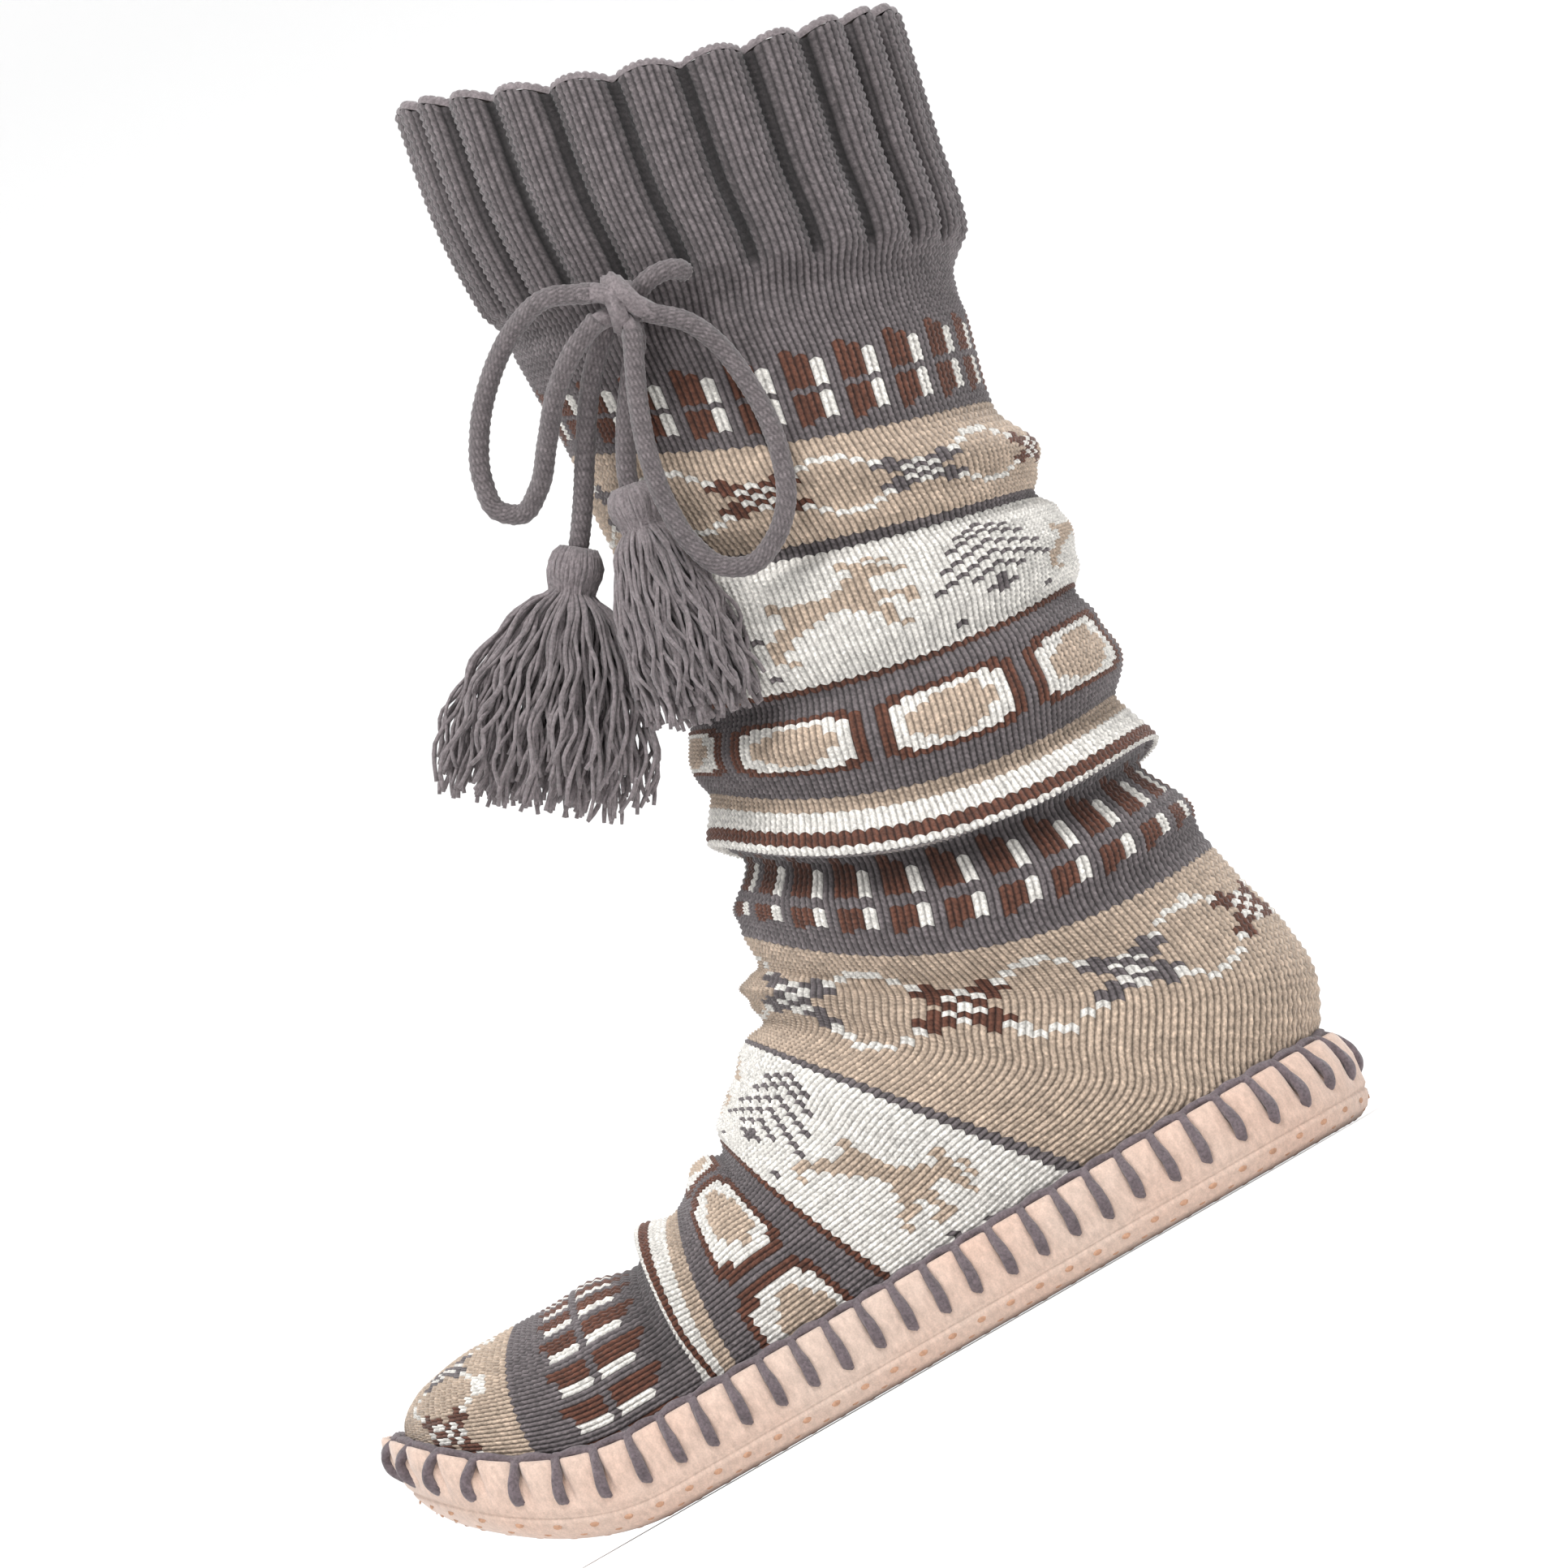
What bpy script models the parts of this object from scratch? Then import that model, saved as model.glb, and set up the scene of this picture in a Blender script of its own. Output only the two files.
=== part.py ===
"""Knit slipper boot with a moccasin sole, a ribbed cuff and a tied cord with two tassels.

Metres, +Z up. The origin is on the floor under the ankle. The heel points to +X, the toe to -X.
It is the left one of a pair, so its outer side is -Y.
"""
import math

import bmesh
import bpy
import numpy as np
from mathutils import Vector

# Sole and foot
FOOT_LENGTH = 0.232
HEEL_X = 0.0580
FOOT_WIDTH = 0.088
INSTEP_HEIGHT = 0.105
TOE_SPRING = 0.024
SPRING_START = 0.79
SUEDE = 0.0016
SEAM_HEIGHT = 0.020
LAP = 0.0045
SIDE_PUFF = 0.0022
SOLE_EDGE = 0.0080
FLOOR_EDGE = 0.0048
INSOLE = 0.0050
STITCH_COUNT = 64

# Knitted shaft and cuff
ANKLE_HEIGHT = 0.089
SHAFT_RISE = 0.205
SHAFT_DEPTH = 0.100
SHAFT_WIDTH = 0.088
KNIT = 0.0022
RIB_COUNT = 24
RIB_RELIEF = 0.0016
RIB_ROWS = 28
ROUND = 48
CLOSE_ROWS = 2.9
FAR_ROWS = 11.5

# Cord and tassels
CORD = 0.0052
KNOT_RADII = (0.0085, 0.0070, 0.0080)
KNOT_CENTRE = (-0.0009, -0.0504, 0.2435)
TASSEL_HEAD = 0.0060
TASSEL_LOCKS = 8
OUTER_SIDE = Vector((0, -1, 0))
LOCK_RELIEF = 0.10
LOCK_DROP = 0.0030

# Clearances: between touching pieces, and between the facets of the knit and of the suede
GAP = 0.0003
SEAM_GAP = 0.0015

# Knit rows count down from the cuff's edge to the toe. Each row of the two section tables is one
# ring of knitting. Shaft: lengths are shares of the rise, the depth or the width of the shaft.
SHAFT_COLUMNS = ("row", "centre_x", "rise", "reach", "tilt", "half_width", "droop", "centre_y", "square")
SHAFT_SECTIONS = (
    (0, 0.322, 0.995, 0.586, 18.5, 0.568, 0.058, 0.010, 0.020),
    (15, 0.263, 0.852, 0.577, 18.3, 0.557, 0.030, 0.010, 0.020),
    (28, 0.229, 0.734, 0.552, 20.0, 0.540, 0.020, 0.008, 0.020),
    (33, 0.203, 0.698, 0.520, 20.5, 0.523, 0.030, 0.006, 0.020),
    (41, 0.192, 0.647, 0.505, 19.5, 0.511, 0.050, 0.004, 0.020),
    (54, 0.166, 0.560, 0.490, 22.5, 0.500, 0.060, 0.000, 0.020),
    (72, 0.156, 0.432, 0.500, 18.5, 0.500, 0.045, 0.000, 0.020),
    (87, 0.139, 0.361, 0.497, 14.5, 0.495, 0.060, 0.000, 0.020),
    (100, 0.117, 0.288, 0.492, 12.0, 0.489, 0.074, 0.000, 0.020),
    (111, 0.091, 0.229, 0.492, 14.7, 0.489, 0.090, 0.000, 0.020),
    (121, 0.066, 0.180, 0.492, 16.2, 0.483, 0.110, 0.000, 0.020),
    (131, 0.054, 0.128, 0.494, 16.2, 0.477, 0.110, 0.000, 0.020),
    (141, 0.042, 0.058, 0.518, 16.8, 0.472, 0.118, 0.000, 0.015),
    (151, 0.026, 0.000, 0.552, 19.1, 0.460, 0.140, 0.000, 0.010),
)

# Foot: front is the ring's top point, base its point under the foot. Both are shares of the foot's
# length from the heel and of the instep's height, and bulge is a share of the foot's length.
FOOT_COLUMNS = ("row", "front", "front_z", "base", "base_z", "half_width", "bulge", "centre_y", "square")
FOOT_SECTIONS = (
    (154, 0.472, 0.962, 0.002, 0.575, 0.450, 0.046, 0.000, 0.010),
    (158, 0.477, 0.938, -0.010, 0.450, 0.442, 0.034, 0.000, 0.010),
    (162, 0.483, 0.914, -0.008, 0.300, 0.438, 0.020, 0.000, 0.010),
    (165, 0.489, 0.890, 0.032, 0.145, 0.437, 0.010, 0.000, 0.012),
    (168, 0.494, 0.867, 0.060, 0.030, 0.437, 0.004, -0.003, 0.015),
    (171, 0.498, 0.843, 0.127, -0.010, 0.440, 0.002, -0.006, 0.018),
    (174, 0.507, 0.816, 0.200, -0.010, 0.445, 0.002, -0.010, 0.022),
    (187, 0.554, 0.740, 0.313, -0.010, 0.459, 0.008, -0.015, 0.026),
    (200, 0.588, 0.676, 0.457, -0.010, 0.473, 0.010, -0.015, 0.030),
    (210, 0.616, 0.633, 0.555, -0.010, 0.484, 0.016, -0.008, 0.030),
    (220, 0.653, 0.576, 0.657, -0.010, 0.494, 0.020, 0.000, 0.030),
    (231, 0.700, 0.548, 0.701, -0.010, 0.497, 0.016, 0.010, 0.030),
    (242, 0.797, 0.533, 0.795, -0.010, 0.480, 0.018, 0.028, 0.028),
    (252, 0.858, 0.510, 0.866, -0.010, 0.445, 0.036, 0.045, 0.025),
    (259, 0.905, 0.467, 0.908, 0.000, 0.395, 0.040, 0.060, 0.020),
    (264, 0.937, 0.414, 0.941, 0.010, 0.325, 0.036, 0.072, 0.015),
    (268, 0.965, 0.352, 0.969, 0.030, 0.240, 0.024, 0.082, 0.010),
    (271, 0.986, 0.281, 0.990, 0.090, 0.145, 0.012, 0.088, 0.005),
    (273, 0.999, 0.210, 1.000, 0.200, 0.010, 0.000, 0.090, 0.000),
)
LAST_ROW = FOOT_SECTIONS[-1][0]

# Folds of the slack knit. Swell and sag are shares of the shaft's depth: swell pushes the row
# outwards, sag lets it hang over the rows below. Above and below are the fold's reach in rows.
# Front, side and back weight it around the ring, and wander moves it up and down in rows.
FOLD_COLUMNS = ("row", "above", "below", "swell", "sag", "front", "side", "back", "wander")
FOLDS = (
    (30.5, 4, 4, -0.016, 0.000, 0.6, 1.0, 0.8, 0.8),
    (60, 6, 8, 0.062, 0.012, 0.1, 0.3, 1.0, 1.0),
    (73, 5, 5, -0.034, 0.000, 0.5, 0.9, 0.8, 1.4),
    (87, 8, 8, 0.016, 0.004, 0.6, 0.6, 1.0, 1.5),
    (100, 6, 5, -0.032, 0.000, 0.8, 0.7, 1.0, 1.6),
    (112, 8, 8, 0.026, 0.000, 0.7, 0.8, 1.0, 1.2),
    (122, 4, 3, -0.014, 0.000, 0.6, 0.5, 1.0, 0.8),
    (130, 7, 3, 0.048, 0.030, 0.8, 1.0, 0.9, 0.6),
    (135, 3, 6, -0.034, 0.000, 1.0, 1.0, 1.0, 0.6),
    (144, 5, 6, 0.022, 0.000, 0.7, 0.2, 1.0, 0.8),
    (155, 4, 4, -0.026, 0.000, 1.0, 0.1, 0.2, 0.8),
    (161.5, 4, 4, 0.024, 0.004, 1.0, 0.1, 0.0, 0.6),
    (169, 4, 4, -0.024, 0.000, 1.0, 0.2, 0.0, 0.6),
    (177, 6, 7, 0.022, 0.000, 1.0, 0.4, 0.0, 0.8),
    (203, 6, 5, -0.034, 0.000, 1.0, 0.3, 0.0, 1.0),
    (211, 5, 6, 0.014, 0.000, 1.0, 0.6, 0.0, 0.8),
    (228.5, 8, 3, 0.040, 0.026, 1.0, 0.8, 0.0, 0.4),
    (233.5, 3, 6, -0.028, 0.000, 1.0, 0.8, 0.0, 0.4),
)
FOLD_FADE = 0.016

# Routes of the cord, chosen by hand in metres: they start at the drawstring's hole or at the knot.
ROUTES = {
    "cord_lead": (
        (0.0148, -0.0484, 0.2424), (0.0139, -0.0506, 0.2435), (0.0117, -0.0518, 0.2444),
        (0.0081, -0.0515, 0.2448),
    ),
    "cord_loop_front": (
        (-0.0080, -0.0535, 0.2493), (-0.0145, -0.0515, 0.2524), (-0.0246, -0.0440, 0.2511),
        (-0.0350, -0.0370, 0.2448), (-0.0435, -0.0320, 0.2357), (-0.0485, -0.0295, 0.2259),
        (-0.0490, -0.0290, 0.2184), (-0.0446, -0.0300, 0.2147), (-0.0384, -0.0340, 0.2174),
        (-0.0315, -0.0400, 0.2250), (-0.0235, -0.0470, 0.2338), (-0.0152, -0.0525, 0.2394),
        (-0.0099, -0.0540, 0.2415),
    ),
    "cord_loop_side": (
        (0.0041, -0.0536, 0.2371), (0.0095, -0.0530, 0.2321), (0.0131, -0.0515, 0.2247),
        (0.0146, -0.0505, 0.2146), (0.0146, -0.0505, 0.2046), (0.0127, -0.0508, 0.1946),
        (0.0089, -0.0505, 0.1858), (0.0025, -0.0490, 0.1797), (-0.0049, -0.0480, 0.1773),
        (-0.0113, -0.0485, 0.1806), (-0.0146, -0.0500, 0.1885), (-0.0150, -0.0510, 0.1981),
        (-0.0133, -0.0520, 0.2090), (-0.0097, -0.0530, 0.2199), (-0.0060, -0.0540, 0.2282),
        (-0.0030, -0.0545, 0.2344),
    ),
    "cord_tail_front": (
        (-0.0078, -0.0469, 0.2394), (-0.0140, -0.0448, 0.2339), (-0.0198, -0.0405, 0.2268),
        (-0.0253, -0.0362, 0.2188), (-0.0308, -0.0328, 0.2104), (-0.0358, -0.0306, 0.2034),
    ),
    "cord_tail_side": (
        (-0.0022, -0.0466, 0.2349), (-0.0067, -0.0462, 0.2292), (-0.0121, -0.0445, 0.2220),
        (-0.0167, -0.0425, 0.2147), (-0.0196, -0.0412, 0.2089),
    ),
}

# Tassels: where the cord enters, the middle of the hem, and the skirt's half width and half depth.
TASSELS = {
    "tassel_front": ((-0.0367, -0.0301, 0.2022), (-0.0730, -0.0295, 0.1570), 0.0225, 0.0130),
    "tassel_side": ((-0.0201, -0.0410, 0.2079), (-0.0300, -0.0420, 0.1550), 0.0120, 0.0070),
}

# Tassel profile: distance along it and radius. Head rows are shares of the head's radius, skirt
# rows blend from the head to the hem.
TASSEL_COLUMNS = ("along", "head", "skirt")
TASSEL_PROFILE = (
    (0.000, 0.42, 0.00),
    (0.040, 0.86, 0.00),
    (0.100, 1.02, 0.00),
    (0.160, 0.86, 0.00),
    (0.200, 0.66, 0.00),
    (0.240, 0.86, 0.02),
    (0.450, 0.70, 0.42),
    (0.750, 0.30, 0.78),
    (1.000, 0.00, 1.00),
)


def column(table, columns, name):
    """One named column of a table, as an array."""
    return np.array([line[columns.index(name)] for line in table], dtype=float)


def smooth(rows, values, at):
    """Values between the rows of a table, on a curve without corners."""
    slope = np.gradient(values, rows)
    at = np.clip(at, rows[0], rows[-1])
    index = np.clip(np.searchsorted(rows, at, side="right") - 1, 0, len(rows) - 2)
    span = rows[index + 1] - rows[index]
    t = (at - rows[index]) / span
    start = values[index] * (1 + 2 * t) * (1 - t) ** 2 + slope[index] * span * t * (1 - t) ** 2
    end = values[index + 1] * t * t * (3 - 2 * t) - slope[index + 1] * span * t * t * (1 - t)
    return start + end


def step(value):
    """Smooth step from 0 to 1."""
    t = np.clip(value, 0.0, 1.0)
    return t * t * (3 - 2 * t)


def section_table():
    """All rings in metres: front and back ends in the side view, half width, bulge, centre, squareness."""
    def shaft(name):
        return column(SHAFT_SECTIONS, SHAFT_COLUMNS, name)

    def foot(name):
        return column(FOOT_SECTIONS, FOOT_COLUMNS, name)

    tilt = np.radians(shaft("tilt"))
    centre_x = shaft("centre_x") * SHAFT_DEPTH
    centre_z = ANKLE_HEIGHT + shaft("rise") * SHAFT_RISE
    reach_x = shaft("reach") * SHAFT_DEPTH * np.cos(tilt)
    reach_z = shaft("reach") * SHAFT_DEPTH * np.sin(tilt)
    join = np.concatenate
    return {
        "row": join([shaft("row"), foot("row")]),
        "front_x": join([centre_x - reach_x, HEEL_X - foot("front") * FOOT_LENGTH]),
        "front_z": join([centre_z + reach_z, foot("front_z") * INSTEP_HEIGHT]),
        "back_x": join([centre_x + reach_x, HEEL_X - foot("base") * FOOT_LENGTH]),
        "back_z": join([centre_z - reach_z, foot("base_z") * INSTEP_HEIGHT]),
        "half_width": join([shaft("half_width") * SHAFT_WIDTH, foot("half_width") * FOOT_WIDTH]),
        "bulge": join([shaft("droop") * SHAFT_DEPTH, foot("bulge") * FOOT_LENGTH]),
        "centre_y": join([shaft("centre_y") * SHAFT_WIDTH, foot("centre_y") * FOOT_WIDTH]),
        "square": join([shaft("square"), foot("square")]),
    }


SECTION = section_table()


def lift(x):
    """Height that the toe spring adds to everything at this place along the foot."""
    start = HEEL_X - SPRING_START * FOOT_LENGTH
    run = (1 - SPRING_START) * FOOT_LENGTH
    return TOE_SPRING * (np.maximum(start - x, 0.0) / run) ** 2


def tube(row, angle):
    """Point of the knitted tube before folds and toe spring, with its outward and downward directions.

    The angle starts at the front or the top and runs over the outer side. Arrays are allowed.
    """
    def at(name):
        return smooth(SECTION["row"], SECTION[name], row)

    front = np.stack([at("front_x"), at("front_z")], axis=-1)
    back = np.stack([at("back_x"), at("back_z")], axis=-1)
    middle = (front + back) / 2
    arm = (front - back) / 2
    length = np.linalg.norm(arm, axis=-1, keepdims=True)
    along = arm / np.maximum(length, 1e-6)
    down = np.stack([along[..., 1], -along[..., 0]], axis=-1) * -1
    square = at("square")
    across = (np.sin(angle) + square * np.sin(3 * angle)) / (1 - square)
    forth = (np.cos(angle) - square * np.cos(3 * angle)) / (1 - square)
    side = np.sin(angle) ** 2
    flat = middle + arm * forth[..., None] + down * (at("bulge") * side)[..., None]
    point = np.stack([flat[..., 0], at("centre_y") - at("half_width") * across, flat[..., 1]], axis=-1)
    cosine = np.cos(angle)
    outward = np.stack([along[..., 0] * cosine, -np.sin(angle), along[..., 1] * cosine], axis=-1)
    downward = np.stack([down[..., 0], np.zeros_like(down[..., 0]), down[..., 1]], axis=-1)
    return point, outward, downward


def fold_shift(row, angle, swell_fade):
    """How far the folds move a point outwards and downwards."""
    outward = np.zeros_like(row + angle)
    downward = np.zeros_like(row + angle)
    cosine = np.cos(angle)
    front = np.maximum(cosine, 0.0) ** 2
    back = np.maximum(-cosine, 0.0) ** 2
    side = np.sin(angle) ** 2
    for number, line in enumerate(FOLDS):
        fold = dict(zip(FOLD_COLUMNS, line))
        middle = fold["row"] + fold["wander"] * np.sin(2 * angle + 1.7 * number)
        offset = row - middle
        reach = np.where(offset < 0, fold["above"], fold["below"])
        height = np.cos(np.clip(offset / reach, -1, 1) * math.pi / 2) ** 2
        weight = fold["front"] * front + fold["side"] * side + fold["back"] * back
        weight = weight * (1 + 0.18 * np.sin(3 * angle + 2.3 * number))
        outward = outward + fold["swell"] * SHAFT_DEPTH * weight * height
        downward = downward + fold["sag"] * SHAFT_DEPTH * weight * height
    return outward * swell_fade, downward * swell_fade


def knit_point(row, angle):
    """Point on the outside of the knitted tube, folds included, before the toe spring."""
    row = np.asarray(row, dtype=float)
    angle = np.asarray(angle, dtype=float)
    point, outward, downward = tube(row, angle)
    fade = step((point[..., 2] - SEAM_HEIGHT) / FOLD_FADE)
    swell, sag = fold_shift(row, angle, fade)
    rib = RIB_RELIEF * (1 - step((row - RIB_ROWS + 2) / 3)) * np.cos(RIB_COUNT * angle) / 2
    return point + outward * (swell + rib)[..., None] + downward * sag[..., None]


def ring_rows():
    """Rows that get a ring of points: every section, the middle of long gaps, and each fold's crest."""
    folds = column(FOLDS, FOLD_COLUMNS, "row")
    rows = sorted(set(SECTION["row"]) | set(folds))
    kept = [rows[0]]
    for row in rows[1:]:
        if row - kept[-1] < CLOSE_ROWS and row != LAST_ROW:
            continue
        if row - kept[-1] > FAR_ROWS:
            kept.append((row + kept[-1]) / 2)
        kept.append(row)
    return kept


def outline(level):
    """Plan outline of the tube at a height: a closed loop from the toe over the outer side."""
    rows = np.linspace(SHAFT_SECTIONS[-1][0], LAST_ROW, 400)
    angles = np.linspace(0, math.pi, 721)
    sides = []
    for sign in (1, -1):
        points = []
        for row in rows:
            ring = tube(np.full_like(angles, row), sign * angles)[0]
            below = np.nonzero(ring[:, 2] < level)[0]
            if len(below) == 0 or below[0] == 0:
                continue
            last = below[0]
            high, low = ring[last - 1], ring[last]
            share = (high[2] - level) / (high[2] - low[2])
            points.append(high + (low - high) * share)
        sides.append(np.array(points))
    outer, inner = sides
    loop = np.concatenate([outer[::-1], inner])
    start = (outer[-1] + inner[-1]) / 2
    loop = np.concatenate([[start], loop, [start]])
    steps = np.linalg.norm(np.diff(loop, axis=0), axis=1)
    run = np.concatenate([[0], np.cumsum(steps)])
    places = np.linspace(0, run[-1], STITCH_COUNT, endpoint=False)
    return np.stack([np.interp(places, run, loop[:, 0]), np.interp(places, run, loop[:, 1])], axis=1)


def outward_normals(loop):
    """Unit normals of a closed plan outline, pointing away from its middle."""
    along = np.roll(loop, -1, axis=0) - np.roll(loop, 1, axis=0)
    normal = np.stack([along[:, 1], -along[:, 0]], axis=1)
    normal /= np.linalg.norm(normal, axis=1)[:, None]
    centre = loop.mean(axis=0)
    if np.sum((loop - centre) * normal) < 0:
        normal = -normal
    return normal


def material(name, colour, roughness):
    """Plain Principled material."""
    result = bpy.data.materials.new(name)
    result.use_nodes = True
    shader = result.node_tree.nodes["Principled BSDF"]
    shader.inputs["Base Color"].default_value = (*colour, 1.0)
    shader.inputs["Roughness"].default_value = roughness
    shader.inputs["Metallic"].default_value = 0.0
    result.diffuse_color = (*colour, 1.0)
    return result


def add_object(name, bm, finish):
    """New object from a bmesh, with outward faces and smooth shading."""
    bmesh.ops.recalc_face_normals(bm, faces=bm.faces)
    if bm.calc_volume(signed=True) < 0 and all(edge.is_manifold for edge in bm.edges):
        bmesh.ops.reverse_faces(bm, faces=bm.faces)
    mesh = bpy.data.meshes.new(name)
    bm.to_mesh(mesh)
    bm.free()
    mesh.shade_smooth()
    mesh.set_sharp_from_angle(angle=math.radians(50))
    mesh.materials.append(finish)
    result = bpy.data.objects.new(name, mesh)
    bpy.context.scene.collection.objects.link(result)
    return result


def ring_faces(bm, first, second):
    """Quads between two closed rings of the same count."""
    count = len(first)
    for k in range(count):
        bm.faces.new((first[k], first[(k + 1) % count], second[(k + 1) % count], second[k]))


def ladder_faces(bm, ring):
    """Closes a loop whose halves mirror each other with strips from side to side."""
    half = len(ring) // 2
    bm.faces.new((ring[0], ring[1], ring[-1]))
    for k in range(1, half - 1):
        bm.faces.new((ring[k], ring[k + 1], ring[-k - 1], ring[-k]))
    bm.faces.new((ring[half - 1], ring[half], ring[half + 1]))


def make_upper(finish):
    """Knitted tube from the cuff to the toe, bent at the ankle and open at both cuff and sole."""
    bm = bmesh.new()
    angles = np.arange(ROUND) * 2 * math.pi / ROUND
    rings = []
    for row in ring_rows()[:-1]:
        points = knit_point(np.full(ROUND, row), angles)
        rings.append([bm.verts.new(point) for point in points])
    for first, second in zip(rings, rings[1:]):
        ring_faces(bm, first, second)
    tip = bm.verts.new(knit_point(LAST_ROW, 0.0))
    last = rings[-1]
    for k in range(ROUND):
        bm.faces.new((last[k], last[(k + 1) % ROUND], tip))
    everything = bm.verts[:] + bm.edges[:] + bm.faces[:]
    lower = Vector((0, 0, SEAM_HEIGHT - LAP))
    bmesh.ops.bisect_plane(bm, geom=everything, plane_co=lower, plane_no=(0, 0, -1), clear_outer=True)
    bmesh.ops.remove_doubles(bm, verts=bm.verts, dist=GAP)
    for vert in bm.verts:
        vert.co.z += lift(vert.co.x)
    upper = add_object("upper", bm, finish)
    wall = upper.modifiers.new("wall", "SOLIDIFY")
    wall.thickness = KNIT
    wall.offset = -1.0
    return upper


def make_sole(finish):
    """Suede moccasin sole: one sheet folded up all around, with a puffed side and a flat underside."""
    seam = outline(SEAM_HEIGHT)
    inside = outline(SEAM_HEIGHT - LAP)
    normal = outward_normals(seam)
    side = SEAM_GAP + SUEDE
    profile = (
        (seam, SIDE_PUFF + side - SOLE_EDGE, 0.0),
        (seam, SIDE_PUFF + side - SOLE_EDGE * 0.35, SOLE_EDGE * 0.22),
        (seam, SIDE_PUFF + side, SOLE_EDGE),
        (seam, SIDE_PUFF + side, SEAM_HEIGHT * 0.62),
        (seam, SIDE_PUFF * 0.4 + side, SEAM_HEIGHT - SUEDE / 2),
        (seam, SEAM_GAP + SUEDE / 2, SEAM_HEIGHT),
        (seam, SEAM_GAP, SEAM_HEIGHT - SUEDE / 2),
        (inside, SEAM_GAP, SEAM_HEIGHT - LAP),
        (inside, SEAM_GAP, SUEDE + FLOOR_EDGE),
        (inside, SEAM_GAP - FLOOR_EDGE * 0.6, SUEDE),
    )
    return loft(finish, "sole", profile, normal)


def make_insole(finish):
    """Soft pad that fills the floor of the sole."""
    inside = outline(SEAM_HEIGHT - LAP)
    normal = outward_normals(inside)
    floor = SUEDE + GAP
    profile = (
        (inside, -FLOOR_EDGE * 0.6 - GAP, floor),
        (inside, -GAP, floor + INSOLE * 0.75),
        (inside, -GAP - INSOLE * 0.2, floor + INSOLE),
    )
    thin = [(loop[::2], offset, height) for loop, offset, height in profile]
    return loft(finish, "insole", thin, normal[::2])


def route_points(points, spacing):
    """Evenly spaced points of a smooth curve through a cord's route."""
    points = np.array(points)
    run = np.concatenate([[0], np.cumsum(np.linalg.norm(np.diff(points, axis=0), axis=1))])
    count = max(3, round(run[-1] / spacing) + 1)
    places = np.linspace(0, run[-1], count)
    return [Vector([float(smooth(run, points[:, axis], place)) for axis in range(3)]) for place in places]


def make_cord(name, finish):
    """Round cord along its route, as a bevelled curve with closed ends."""
    curve = bpy.data.curves.new(name, "CURVE")
    curve.dimensions = "3D"
    curve.bevel_depth = CORD / 2
    curve.bevel_resolution = 2
    curve.use_fill_caps = True
    points = route_points(ROUTES[name], 2.2 * CORD)
    spline = curve.splines.new("POLY")
    spline.points.add(len(points) - 1)
    for point, place in zip(spline.points, points):
        point.co = (*place, 1.0)
    curve.materials.append(finish)
    cord = bpy.data.objects.new(name, curve)
    bpy.context.scene.collection.objects.link(cord)
    return cord


def make_knot(finish):
    """Bow knot: a rounded lump with the grooves of the wrapped cord."""
    bm = bmesh.new()
    bmesh.ops.create_uvsphere(bm, u_segments=12, v_segments=8, radius=1.0)
    for vert in bm.verts:
        groove = 1 - 0.09 * math.cos(3 * math.atan2(vert.co.z, vert.co.x)) ** 2 * (1 - vert.co.y ** 2)
        vert.co = Vector(KNOT_CENTRE) + Vector(vert.co[k] * groove * KNOT_RADII[k] for k in range(3))
    return add_object("cord_knot", bm, finish)


def make_tassel(name, finish):
    """Tassel with a tied head and a skirt whose locks are ridges down to a jagged hem."""
    top, hem, half_width, half_depth = TASSELS[name]
    top, hem = Vector(top), Vector(hem)
    axis = hem - top
    length = axis.length
    axis.normalize()
    across = axis.cross(OUTER_SIDE).normalized()
    through = across.cross(axis).normalized()
    bm = bmesh.new()
    count = 2 * TASSEL_LOCKS
    rings = []
    for along, head, skirt in TASSEL_PROFILE:
        ring = []
        for k in range(count):
            angle = 2 * math.pi * k / count
            ridge = 1 + LOCK_RELIEF * skirt * (1 if k % 2 else -1)
            drop = LOCK_DROP * skirt * skirt * (1 if k % 2 else -1)
            wide = (TASSEL_HEAD * head + half_width * skirt) * ridge
            deep = (TASSEL_HEAD * head + half_depth * skirt) * ridge
            place = top + axis * (length * along + drop)
            place += across * wide * math.cos(angle) + through * deep * math.sin(angle)
            ring.append(bm.verts.new(place))
        rings.append(ring)
    for first, second in zip(rings, rings[1:]):
        ring_faces(bm, first, second)
    bm.faces.new(rings[0])
    hollow = bm.verts.new(top + axis * (length - 2 * LOCK_DROP))
    last = rings[-1]
    for k in range(count):
        bm.faces.new((last[k], last[(k + 1) % count], hollow))
    return add_object(name, bm, finish)


def loft(finish, name, profile, normal):
    """Closed solid through offset outlines, each given as loop, offset and height."""
    bm = bmesh.new()
    rings = []
    for loop, offset, height in profile:
        plan = loop + normal * offset
        rings.append([bm.verts.new((x, y, height + lift(x))) for x, y in plan])
    for first, second in zip(rings, rings[1:]):
        ring_faces(bm, first, second)
    ladder_faces(bm, rings[0])
    ladder_faces(bm, rings[-1])
    bmesh.ops.triangulate(bm, faces=bm.faces)
    return add_object(name, bm, finish)


def main():
    """Builds every piece."""
    for old in list(bpy.data.objects):
        bpy.data.objects.remove(old)
    knit = material("knit", (0.45, 0.39, 0.34), 0.95)
    suede = material("suede", (0.76, 0.56, 0.45), 0.9)
    lining = material("insole", (0.66, 0.60, 0.54), 0.95)
    yarn = material("cord", (0.19, 0.17, 0.175), 0.95)
    make_upper(knit)
    make_sole(suede)
    make_insole(lining)
    for name in ROUTES:
        make_cord(name, yarn)
    make_knot(yarn)
    for name in TASSELS:
        make_tassel(name, yarn)


main()
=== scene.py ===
"""Looks of the knit slipper boot: real stitches, suede moccasin sole, whip stitches and tassels."""
import math
import random

import bpy
import numpy as np
from mathutils import Matrix, Vector


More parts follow.
